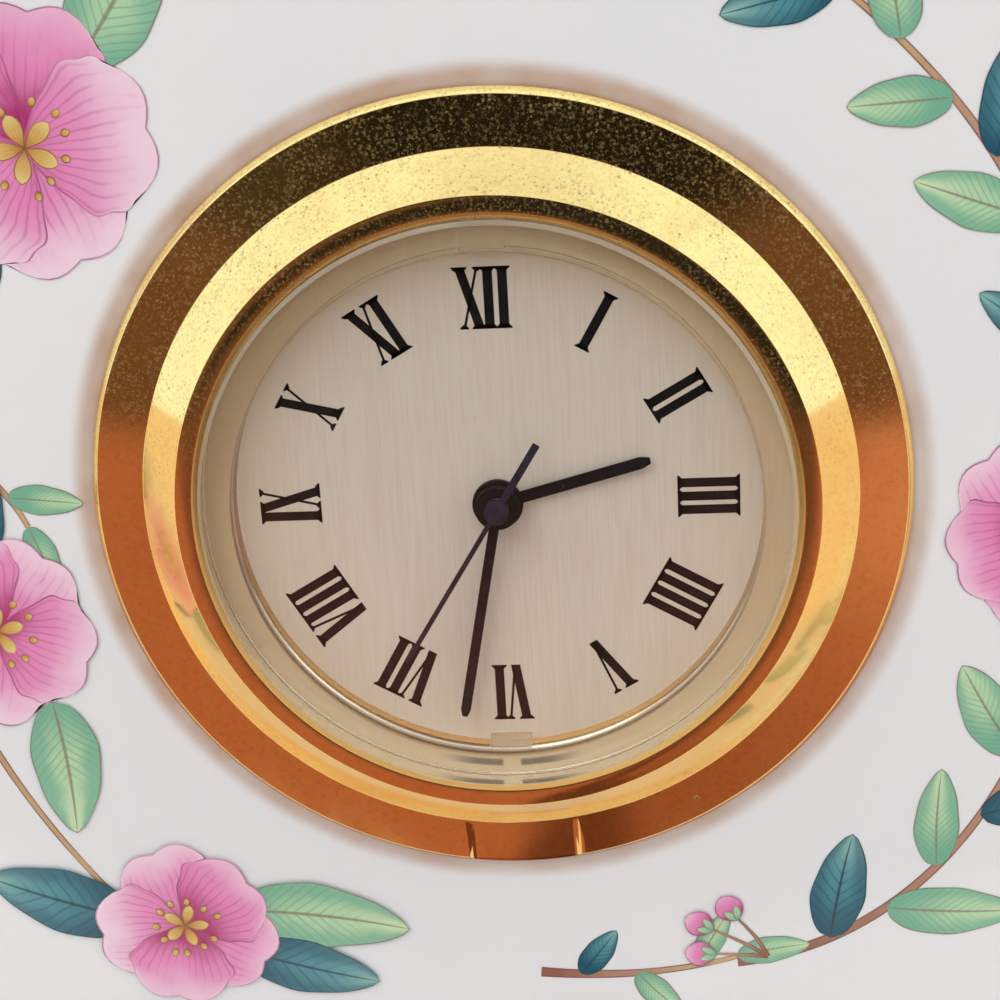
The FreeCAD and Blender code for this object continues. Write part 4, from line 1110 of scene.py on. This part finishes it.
@dataclass
class Dial:
    """The brushed dial plate and its printed Roman numerals."""

    radius: float = 18.3
    hole: float = 1.3
    face: float = 0.3
    back: float = -0.1
    rounding: float = 0.03
    foot_radius: float = 0.4
    foot_circle: float = 15.5
    foot_end: float = -1.3
    inner: float = 10.85
    outer: float = 14.6
    serif: float = 0.14
    serif_reach: float = 0.19
    print_rise: float = 0.012
    print_sink: float = 0.004
    pitch: float = 0.86
    wide_pitch: float = 1.09
    numerals: Tuple[str, ...] = ("I", "II", "III", "IIII", "V", "VI", "VII", "VIII", "IX", "X", "XI", "XII")

    def build(self, metal: Material, ink: Material) -> None:
        """Makes the plate with its two feet, and prints the numerals on it."""
        shape = Shape()
        shape.lathe([(self.hole, self.face), (self.radius, self.face),
                     (self.radius, self.back), (self.hole, self.back)])
        shape.soften(self.rounding, above=50.0)
        for side in (-1, 1):
            middle = (side * self.foot_circle, 0, (self.back + self.foot_end) / 2)
            bmesh.ops.create_cone(
                shape.bm, cap_ends=True, segments=24, radius1=self.foot_radius, radius2=self.foot_radius,
                depth=self.back - self.foot_end, matrix=Matrix.Translation(middle),
            )
        settle(shape.finish("dial_plate", [metal], weighted=True), "insert", "dial_metal", "dial")
        shape = Shape()
        for hour, letters in enumerate(self.numerals, start=1):
            self.numeral(shape, letters, 30.0 * hour)
        settle(shape.finish("dial_numerals", [ink]), "insert", "black_hands")

    def numeral(self, shape: Shape, letters: str, angle: float) -> None:
        """Prints one numeral with its top outwards.

        Args:
            shape: The shape to print into.
            letters: Its letters from left to right.
            angle: Its place round the dial, clockwise from 12.
        """
        strokes = [Stroke[letter] for letter in letters]
        places = [0.0]
        for last, now in zip(strokes, strokes[1:]):
            both_stems = last is Stroke.I and now is Stroke.I
            places.append(places[-1] + (self.pitch if both_stems else self.wide_pitch))
        middle = (places[0] + places[-1]) / 2
        before = set(shape.bm.verts)
        for stroke, place in zip(strokes, places):
            self.letter(shape, stroke, place - middle)
        shape.turn(angle, [vert for vert in shape.bm.verts if vert not in before])

    def letter(self, shape: Shape, stroke: Stroke, x: float) -> None:
        """Prints one letter centred on x: its bars, serifs at their heads and, but for V, at their feet."""
        for low, high, width in stroke.value:
            half = width / 2
            self.print(shape, [(x + low - half, self.inner), (x + low + half, self.inner),
                               (x + high + half, self.outer), (x + high - half, self.outer)])
        for _, high, width in stroke.value:
            self.foot(shape, x + high, self.outer, width, -1)
        if stroke is not Stroke.V:
            for low, _, width in stroke.value:
                self.foot(shape, x + low, self.inner, width, 1)

    def foot(self, shape: Shape, x: float, y: float, width: float, way: int) -> None:
        """Prints a serif with its small brackets; way is 1 for one at the foot and -1 for one at the head."""
        half = width / 2 + self.serif_reach
        near, far = y + way * self.serif * 0.55, y + way * self.serif * 1.9
        corners = [(x - half, y), (x + half, y), (x + half, near), (x + width / 2, far), (x - width / 2, far),
                   (x - half, near)]
        self.print(shape, corners[::way])

    def print(self, shape: Shape, corners: Sequence[Place]) -> None:
        """Prints a patch of ink that stands a little proud of the dial."""
        shape.plate(corners, self.face - self.print_sink, self.face + self.print_rise)


@dataclass
class Hand:
    """One hand: a blade with a blunt point on a round hub."""

    name: str
    node: str
    body: str
    angle: float
    length: float
    width: float
    blade_low: float
    hub: float
    hub_low: float
    hub_high: float
    bore: float
    tail: float = 0.0
    tail_width: float = 0.0
    thickness: float = 0.16
    point: float = 0.75
    tip_share: float = 0.5
    rounding: float = 0.035
    hub_rounding: float = 0.05

    def build(self, paint: Material, cap: Material) -> None:
        """Makes the hand; paint dresses its blade and cap its hub."""
        shape = Shape()
        half, shoulder = self.width / 2, self.length - self.width * self.point
        tip = half * self.tip_share
        blade = [(-half, 0.0), (half, 0.0), (half, shoulder), (tip, self.length), (-tip, self.length),
                 (-half, shoulder)]
        shape.plate(blade, self.blade_low, self.blade_low + self.thickness)
        if self.tail:
            wide = self.tail_width / 2
            tail = [(-wide, -self.tail), (wide, -self.tail), (wide, 0.0), (-wide, 0.0)]
            shape.plate(tail, self.blade_low, self.blade_low + self.thickness)
        shape.soften(self.rounding, above=40.0)
        blades = len(shape.bm.faces)
        hub = Shape()
        hub.lathe(
            [(self.bore, self.hub_low), (self.hub, self.hub_low), (self.hub, self.hub_high),
             (self.bore, self.hub_high)],
            steps=96 if self.bore else 72, closed=bool(self.bore),
        )
        hub.soften(self.hub_rounding, above=50.0, segments=3)
        mesh = bpy.data.meshes.new("hub")
        hub.bm.to_mesh(mesh)
        hub.bm.free()
        shape.bm.from_mesh(mesh)
        bpy.data.meshes.remove(mesh)
        shape.bm.faces.ensure_lookup_table()
        for face in shape.bm.faces[blades:]:
            face.material_index = 1
        shape.turn(self.angle)
        settle(shape.finish(self.name, [paint, cap], weighted=True), self.body, "black_hands", self.node)


# ---------------------------------------------------------------- decoration


def curve(points: Sequence[Place], along: float) -> Tuple[Vector, Vector]:
    """Follows a Bezier curve.

    Args:
        points: Its four guide points.
        along: The share of its way, 0 to 1.

    Returns:
        The place that is reached, and the way in which the curve runs there.
    """
    a, b, c, d = (Vector(point) for point in points)
    rest = 1 - along
    spot = a * rest ** 3 + b * 3 * rest ** 2 * along + c * 3 * rest * along ** 2 + d * along ** 3
    way = (b - a) * rest ** 2 + (c - b) * 2 * rest * along + (d - c) * along ** 2
    return spot, way


def bearing(way: Vector) -> float:
    """The direction of a vector in degrees, clockwise from straight up."""
    return math.degrees(math.atan2(way.x, way.y))


@dataclass(frozen=True)
class Blade:
    """A petal or leaf: where it grows from, which way, and its form."""

    x: float
    y: float
    angle: float
    length: float
    width: float
    bend: float = 0.0
    tone: float = 0.5
    notch: float = 0.0
    swell: float = 0.42
    ruffle: float = 0.02
    ruffles: float = 17
    fullness: float = 0.62
    claw: float = 0.12
    widest: float = 0.72
    narrowing: float = 0.14
    corner: float = 0.3

    def half(self, across: float, along: float) -> float:
        """Half the width, at a share of the length."""
        if self.notch:
            half = self.claw + (1 - self.claw) * math.sin(math.pi / 2 * min(1.0, along / self.widest))
            end = max(0.0, (along - self.widest) / (1 - self.widest))
            half *= self.width / 2 * (1 - self.narrowing * end ** 2)
        else:
            power = math.log(0.5) / math.log(self.swell)
            half = self.width / 2 * math.sin(math.pi * along ** power) ** self.fullness
        return half * (1 + self.ruffle * math.sin(along * self.ruffles + self.x) * abs(across))

    def reach(self, across: float, along: float) -> float:
        """The share of the length that is reached, less in a petal's notch and at its corners."""
        if not self.notch:
            return along
        return along * (1 - self.notch * (1 - abs(across)) ** 2 - self.corner * abs(across) ** 3)


@dataclass
class Spray:
    """A painted spray of blossoms, leaves and stems on the flat front of the body."""

    name: str
    seed: int
    lift: float = -0.085
    rise: float = 0.0022
    stem_rise: float = 0.00044
    petals: int = 5
    stamens: int = 11
    twig_width: float = 0.75
    stalk_width: float = 0.34
    stamen_width: float = 0.16
    berry_gap: float = 26
    berry_size: Place = (2.1, 1.9)
    bract_size: Place = (1.15, 0.6)
    bract_lean: float = 24
    stalk_length: float = 3.4
    stalk_longer: float = 0.7
    stalk_bend: float = 0.25
    shape: Shape = field(default_factory=Shape)
    made: int = 0

    def sheet(self, columns: int, rows: int) -> Tuple[List[BMVert], Dict[int, Place]]:
        """Adds a flat grid with its across and along shares.

        Args:
            columns: Steps across.
            rows: Steps along.

        Returns:
            The grid's vertices, and across (-1 to 1) and along (0 to 1) of each by its number.
        """
        bm = self.shape.bm
        grid = bmesh.ops.create_grid(bm, x_segments=columns, y_segments=rows, size=1.0)["verts"]
        bm.verts.ensure_lookup_table()
        bm.verts.index_update()
        shares = {vert.index: (vert.co.x, (vert.co.y + 1) / 2) for vert in grid}
        return grid, shares

    def mark(self, shares: Dict[int, Place], edges: Dict[int, float], tone: float, material: int) -> None:
        """Writes a sheet's UV map, its distance from the outline, its tone and its material.

        Args:
            shares: Across and along of each vertex by its number.
            edges: Distance from the outline of each, in millimetres.
            tone: The whole sheet's tone, 0 to 1.
            material: Its material's number.
        """
        bm = self.shape.bm
        edge_layer = bm.verts.layers.float.get("edge") or bm.verts.layers.float.new("edge")
        tone_layer = bm.verts.layers.float.get("tone") or bm.verts.layers.float.new("tone")
        uv = bm.loops.layers.uv.get("sheet") or bm.loops.layers.uv.new("sheet")
        bm.verts.ensure_lookup_table()
        for index in shares:
            bm.verts[index][edge_layer] = edges[index]
            bm.verts[index][tone_layer] = tone
        for face in {face for index in shares for face in bm.verts[index].link_faces}:
            face.material_index = material
            for loop in face.loops:
                across, along = shares[loop.vert.index]
                loop[uv].uv = ((across + 1) / 2, along)
        self.made += 1

    def blade(self, form: Blade, material: int, columns: int = 14, rows: int = 26) -> None:
        """Paints a petal or leaf.

        Args:
            form: Its place and form.
            material: Its material's number.
            columns: Steps across.
            rows: Steps along.
        """
        verts, shares = self.sheet(columns, rows)
        turn = math.radians(form.angle)
        forward, right = Vector((math.sin(turn), math.cos(turn))), Vector((math.cos(turn), -math.sin(turn)))
        low = self.lift + self.made * self.rise
        edges = {}
        for vert in verts:
            across, along = shares[vert.index]
            half = form.half(across, along)
            spot = Vector((form.x, form.y)) + forward * form.reach(across, along) * form.length
            spot += right * (across * half + form.bend * along ** 2)
            edges[vert.index] = min((1 - abs(across)) * half, (1 - along) * form.length * 0.9 + 0.01)
            vert.co = (spot.x, spot.y, low)
        self.mark(shares, edges, form.tone, material)

    def stem(self, points: Sequence[Place], width: float, rows: int = 48) -> None:
        """Paints a stem along a smooth curve through its guide points.

        Args:
            points: Four guide points of a Bezier curve.
            width: Width at the start; the end has half of it.
            rows: Steps along.
        """
        verts, shares = self.sheet(4, rows)
        low = self.lift + self.made * self.stem_rise
        edges = {}
        for vert in verts:
            across, along = shares[vert.index]
            spot, way = curve(points, along)
            way.normalize()
            half = width / 2 * (1 - 0.5 * along)
            spot += Vector((way.y, -way.x)) * across * half
            edges[vert.index] = (1 - abs(across)) * half
            vert.co = (spot.x, spot.y, low)
        self.mark(shares, edges, 0.5, STEM)

    def blossom(self, x: float, y: float, radius: float, turn: float) -> None:
        """Paints an open five-petalled blossom with a ring of stamens.

        Args:
            x: Its middle.
            y: Its middle.
            radius: Its reach.
            turn: How far its first petal is turned from 12.
        """
        chance = random.Random(self.seed + int(x * 7 + y * 3))
        apart = 360 / self.petals
        # Even petals come first, so that the odd ones lie over them.
        for number in sorted(range(self.petals), key=lambda petal: petal % 2):
            angle = turn + apart * number + chance.uniform(-5, 5)
            length = radius * chance.uniform(0.92, 1.06)
            bend, tone = chance.uniform(-0.5, 0.5), chance.uniform(0.15, 0.85)
            self.blade(Blade(x, y, angle, length, radius * 1.12, bend, tone, notch=0.1, ruffle=0.035), PETAL)
        for number in range(self.petals):
            angle = turn + apart * (number + 0.5)
            self.blade(Blade(x, y, angle, radius * 0.26, radius * 0.13, swell=0.62, ruffle=0.0), POLLEN, 6, 8)
        for number in range(self.stamens):
            angle = math.radians(turn + 360 / self.stamens * number + chance.uniform(-8, 8))
            reach = radius * chance.uniform(0.27, 0.36)
            away = Vector((math.sin(angle), math.cos(angle)))
            end = (x + away.x * reach, y + away.y * reach)
            guides = [(x + (end[0] - x) * share, y + (end[1] - y) * share) for share in SWING]
            self.stem([(x, y), *guides, end], self.stamen_width, 4)
            bud = (end[0] - 0.25 * away.x, end[1] - 0.25 * away.y)
            self.blade(Blade(*bud, math.degrees(angle), 0.62, 0.5, swell=0.5, ruffle=0.0), POLLEN, 6, 6)

    def twig(self, points: Sequence[Place], leaves: int, size: float, first: float = 0.2) -> None:
        """Paints a stem with leaves by turns on its two sides and one at its end.

        Args:
            points: The stem's four guide points.
            leaves: How many leaves it has along its sides.
            size: A leaf's length.
            first: Share of the stem before the first leaf.
        """
        self.stem(points, self.twig_width)
        chance = random.Random(self.seed + leaves)
        for number in range(leaves):
            spot, way = curve(points, first + (1 - first) * (number + 0.4) / leaves)
            side = 1 if number % 2 else -1
            length = size * chance.uniform(0.82, 1.12)
            angle = bearing(way) + side * chance.uniform(38, 62)
            width = length * chance.uniform(0.4, 0.5)
            bend = side * chance.uniform(-1.2, 0.2) * length / 9
            tone = chance.uniform(0.2, 0.8)
            leaf = Blade(spot.x, spot.y, angle, length, width, bend, tone)
            self.blade(leaf, LEAF if number % 3 else DARK_LEAF)
        spot, way = curve(points, 1.0)
        self.blade(Blade(spot.x, spot.y, bearing(way), size, size * 0.42, 0.4), LEAF)

    def berries(self, x: float, y: float, angle: float, count: int) -> None:
        """Paints a few round berries on short stalks, each with two small bracts.

        Args:
            x: Where the stalks start.
            y: Where the stalks start.
            angle: Which way the middle one points.
            count: How many there are.
        """
        for number in range(count):
            turn = math.radians(angle + (number - (count - 1) / 2) * self.berry_gap)
            reach = self.stalk_length + self.stalk_longer * (number % 2)
            end = (x + math.sin(turn) * reach, y + math.cos(turn) * reach)
            mid = (x + math.sin(turn) * reach * 0.5 + self.stalk_bend, y + math.cos(turn) * reach * 0.5)
            self.stem([(x, y), mid, mid, end], self.stalk_width, 12)
            heading = math.degrees(turn)
            berry = Blade(*end, heading, *self.berry_size, tone=0.35, swell=0.52, ruffle=0.0)
            self.blade(berry, PETAL, 10, 12)
            for lean in (-self.bract_lean, self.bract_lean):
                self.blade(Blade(*end, heading + lean, *self.bract_size, swell=0.5, ruffle=0.0), LEAF, 6, 8)

    def build(self, paints: Sequence[Material]) -> None:
        """Closes the collapsed ends, turns every face forwards and lays the paint on the glaze."""
        bmesh.ops.remove_doubles(self.shape.bm, verts=self.shape.bm.verts, dist=0.0008)
        for face in self.shape.bm.faces:
            face.normal_update()
            if face.normal.z < 0:
                face.normal_flip()
        settle(self.shape.finish(self.name, paints), "case", "porcelain")


def paint_sprays(paints: Sequence[Material]) -> None:
    """Paints the sprays round the insert: blossoms to the left, leafy twigs to the right.

    Args:
        paints: The materials in the order of their numbers: petal, leaf, dark leaf, pollen and stem.
    """
    left = Spray("painted_spray_left", seed=5)
    left.stem([(-24, 30), (-42, 16), (-42, -12), (-24, -31)], 0.8)
    left.twig([(-22, 28.5), (-15, 34), (-6, 36.5), (3, 36)], 5, 6.4, 0.3)
    left.twig([(-37, 8), (-35, 5), (-31, 3), (-29.5, -1)], 3, 5.0, 0.1)
    left.blade(Blade(-28, 26, -30, 9, 4.6, 0.8, 0.3), DARK_LEAF)
    left.blade(Blade(-23, 27, 40, 10, 5.2, -0.9, 0.6, swell=0.44), LEAF)
    left.blade(Blade(-30, 19, 196, 9.5, 4.4, 0.7, 0.7), DARK_LEAF)
    left.blossom(-26.5, 22.5, 8.4, 12)
    left.blade(Blade(-32.5, -3, -6, 8, 3.8, 0.6), DARK_LEAF)
    left.blade(Blade(-29.5, -13, 172, 9.5, 4.6, 0.9, 0.6), LEAF)
    left.blossom(-32.4, -8, 6.9, 40)
    left.blade(Blade(-26, -29, -76, 10, 4.8, 0.9, 0.35), DARK_LEAF)
    left.blade(Blade(-19, -28.5, 92, 11.5, 4.8, 1.2, 0.55), LEAF)
    left.blade(Blade(-19, -31.5, 110, 9.5, 4.0, -0.7, 0.4), DARK_LEAF)
    left.blossom(-22.6, -29.6, 6.3, -20)
    left.berries(-36.6, 4, -30, 2)
    left.build(paints)
    right = Spray("painted_spray_right", seed=11)
    right.twig([(1, -33.6), (5, -34), (9, -34), (14, -32.6)], 3, 4.8, 0.1)
    right.twig([(14, -33), (27, -31.5), (36, -17), (34, 1)], 8, 7.6, 0.12)
    right.twig([(34, 0), (35, 12), (30, 22.5), (18, 31.5)], 7, 6.8)
    right.blossom(32.8, -3.5, 6.5, 30)
    right.berries(16, -32.6, -60, 3)
    right.berries(22, 29, 20, 3)
    right.build(paints)


# ---------------------------------------------------------------- studio


@dataclass
class Studio:
    """The camera at the photograph's angle, a pale floor, and soft light."""

    eye: Spot = (0.009685, -0.13402, 0.08779)
    right: Spot = (0.99653, 0.06312, -0.05428)
    up: Spot = (0.02950, 0.34195, 0.93926)
    back: Spot = (0.07786, -0.93760, 0.33890)
    lens: float = 73.0
    sensor: float = 36.0
    clip_start: float = 0.005
    target: Spot = (0, 0, 0.045)
    lamps: Tuple[Tuple[str, Spot, float, float], ...] = (
        ("key_softbox", (-0.55, -0.75, 1.15), 0.9, 5.6),
        ("fill_softbox", (0.9, -0.55, 0.7), 0.8, 1.75),
        ("back_softbox", (0.2, 0.9, 0.9), 0.9, 2.35),
    )
    floor_size: float = 6.0
    floor_gap: float = 0.02
    room_low: Colour = (0.53, 0.53, 0.53, 1)
    room_high: Colour = (0.86, 0.86, 0.86, 1)
    backdrop: Colour = (0.80, 0.79, 0.78, 1)
    dark_way: Spot = (0.0, -0.979, 0.204)
    mirrored: Tuple[Tuple[float, Colour], ...] = (
        (0.4, (1.1, 1.32, 1.5, 1)),
        (0.7, (0.5, 0.44, 0.38, 1)),
        (0.84, (0.14, 0.1, 0.07, 1)),
        (0.93, (0.055, 0.042, 0.03, 1)),
        (0.98, (0.014, 0.012, 0.01, 1)),
    )

    def build(self) -> None:
        """Sets the whole studio up."""
        self.camera()
        self.world()
        self.floor()
        for lamp in self.lamps:
            self.lamp(*lamp)
        bpy.context.scene.view_settings.view_transform = "Standard"

    def camera(self) -> None:
        """Places the camera."""
        data = bpy.data.cameras.new("photo_camera")
        data.lens, data.sensor_width, data.clip_start = self.lens, self.sensor, self.clip_start
        camera = bpy.data.objects.new("photo_camera", data)
        turn = Matrix((self.right, self.up, self.back)).transposed().to_4x4()
        camera.matrix_world = Matrix.Translation(self.eye) @ turn
        bpy.context.scene.collection.objects.link(camera)
        bpy.context.scene.camera = camera

    def lamp(self, name: str, place: Spot, size: float, power: float) -> None:
        """Hangs a soft square lamp that points at the clock.

        Args:
            name: The lamp's name.
            place: Where it hangs.
            size: Its side.
            power: Its power in watts.
        """
        data = bpy.data.lights.new(name, "AREA")
        data.size, data.energy = size, power
        lamp = bpy.data.objects.new(name, data)
        lamp.visible_glossy = False
        aim = Vector(self.target) - Vector(place)
        lamp.matrix_world = Matrix.Translation(place) @ aim.to_track_quat("-Z", "Y").to_matrix().to_4x4()
        bpy.context.scene.collection.objects.link(lamp)

    def world(self) -> None:
        """A pale room, with the dark soft shape that a polished front mirrors from where it is looked at."""
        world = bpy.data.worlds.new("studio")
        world.use_nodes = True
        bpy.context.scene.world = world
        tree = Tree(world.node_tree)
        way = tree.add("ShaderNodeTexCoord").outputs["Generated"]
        facing = tree.add("ShaderNodeVectorMath", {0: way, 1: self.dark_way}, operation="DOT_PRODUCT")
        rays = tree.rays()
        colour = tree.layers(
            self.room_low,
            (tree.step(tree.split(way)[2], (-0.2, 0.9)), self.room_high),
            (rays["Is Glossy Ray"], tree.ramp(facing.outputs["Value"], self.mirrored, "EASE")),
            (tree.most(rays["Is Camera Ray"], rays["Is Transmission Ray"]), self.backdrop),
        )
        tree.fill(world.node_tree.nodes["Background"], {"Color": colour})

    def floor(self) -> None:
        """Lays the pale floor, which a polished surface mirrors as a glow of painted reflections in a warm
        tone.
        """
        shape = Shape()
        tilt = Matrix.Rotation(math.radians(-90), 3, "X")
        bmesh.ops.create_grid(shape.bm, x_segments=8, y_segments=8, size=self.floor_size / 2 / MM)
        bmesh.ops.rotate(shape.bm, verts=shape.bm.verts, cent=(0, 0, 0), matrix=tilt)
        drop = -CENTRE_Z / MM - self.floor_gap
        bmesh.ops.translate(shape.bm, verts=shape.bm.verts, vec=(0, drop, FACE_Y / MM))
        piece = shape.finish("studio_floor", [PaleFloor("pale_floor").build()])
        piece.data.flip_normals()


# ---------------------------------------------------------------- the whole clock


@dataclass
class Pendulette:
    """The whole clock: which finish each carried-over CAD node takes, and the pieces made here."""

    finishes: Dict[str, Finish] = field(default_factory=lambda: {
        "porcelain": Glaze("white_glaze"),
        "gold_plate": GoldPlate("gold_plate_polish"),
        "clear_acrylic": ClearAcrylic("clear_acrylic_moulding"),
        "dial_metal": BrushedDial("brushed_dial"),
        "black_hands": Paint("black_paint"),
        "cap_plastic": Paint("plum_cap", srgb(46, 40, 56)),
        "numeral_ink": Paint("numeral_ink", srgb(18, 14, 16), 0.6),
        "black_plastic": Moulded("black_moulding"),
        "grip_rubber": Rubber("grip_rubber_skin"),
        "white_plastic": Moulded("white_moulding", srgb(226, 224, 216), 0.38, 0.1),
        "plate_plastic": Moulded("plate_moulding", srgb(74, 72, 70), 0.42, 0.2),
        "steel": TurnedMetal("bright_steel"),
        "magnet": TurnedMetal("sintered_magnet", (0.16, 0.16, 0.17, 1.0), 0.5, (0.1, 0.09, 0.09, 1.0)),
        "copper_wire": Winding("enamelled_winding"),
        "board_green": BoardResist("board_resist"),
        "chip_black": Moulded("chip_resin", srgb(18, 18, 19), 0.3, 0.15),
        "bright_can": TurnedMetal("drawn_can", (0.78, 0.77, 0.74, 1.0), 0.16, (0.55, 0.5, 0.43, 1.0)),
        "contact_brass": TurnedMetal("spring_brass", (0.80, 0.60, 0.28, 1.0), 0.26, (0.5, 0.32, 0.14, 1.0)),
    })
    enamels: Tuple[Enamel, ...] = (
        Enamel("petal_pink"),
        Enamel("leaf_green", srgb(118, 180, 152), srgb(178, 214, 172), srgb(204, 226, 182),
               srgb(136, 122, 106), slant=15.0, vein_share=0.5, rib=0.75, outline=0.12, sides=0.8),
        Enamel("leaf_teal", srgb(38, 88, 108), srgb(84, 144, 154), srgb(150, 194, 186), srgb(40, 66, 76),
               slant=10.0, vein_share=0.45, rib=0.8, outline=0.12, sides=0.6),
        Enamel("pollen", srgb(178, 120, 60), srgb(214, 170, 96), srgb(236, 208, 140), srgb(132, 84, 52),
               veins=4.0, vein_share=0.2, outline=0.1),
        Enamel("stem_brown", srgb(150, 100, 84), srgb(188, 142, 122), srgb(206, 178, 132), srgb(126, 88, 78),
               veins=3.0, vein_share=0.35, outline=0.12),
    )

    def dress(self) -> Dict[str, Material]:
        """Builds the finishes and gives every CAD node the one of its slot.

        Returns:
            The materials by slot name.
        """
        materials = {name: finish.build() for name, finish in self.finishes.items()}
        for node, item in sorted(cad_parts.items()):
            for slot in item.material_slots:
                wanted = slot.material.name.split(".")[0] if slot.material else ""
                slot.material = materials.get(wanted, materials["black_plastic"])
                log.info("%s dressed in %s", node, slot.material.name)
        return materials

    def hands(self, black: Material, plum: Material) -> None:
        """Makes the three hands; the second hand's hub has a cap of another colour."""
        Hand("hour_baton", "hour_hand", "hour", angle=75.0, length=9.6, width=0.74, blade_low=0.6,
             hub=1.54, hub_low=0.5, hub_high=0.9, bore=1.12).build(black, black)
        Hand("minute_baton", "minute_hand", "minute", angle=191.4, length=14.1, width=0.62, blade_low=1.283,
             hub=1.35, hub_low=1.1, hub_high=1.65, bore=0.7).build(black, black)
        Hand("second_baton", "second_hand", "second", angle=212.0, length=11.5, width=0.3, blade_low=2.05,
             hub=0.75, hub_low=1.85, hub_high=2.45, bore=0.0, tail=4.9, tail_width=0.46).build(black, plum)

    def build(self) -> None:
        """Builds and dresses the clock."""
        materials = self.dress()
        Bezel().build(materials["gold_plate"])
        Crystal().build(materials["clear_acrylic"])
        Dial().build(materials["dial_metal"], materials["numeral_ink"])
        self.hands(materials["black_hands"], materials["cap_plastic"])
        paint_sprays([enamel.build() for enamel in self.enamels])


def main() -> None:
    """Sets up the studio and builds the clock."""
    logging.basicConfig(level=logging.INFO, format="%(name)s: %(message)s")
    Studio().build()
    Pendulette().build()


if __name__ == "__main__":
    main()
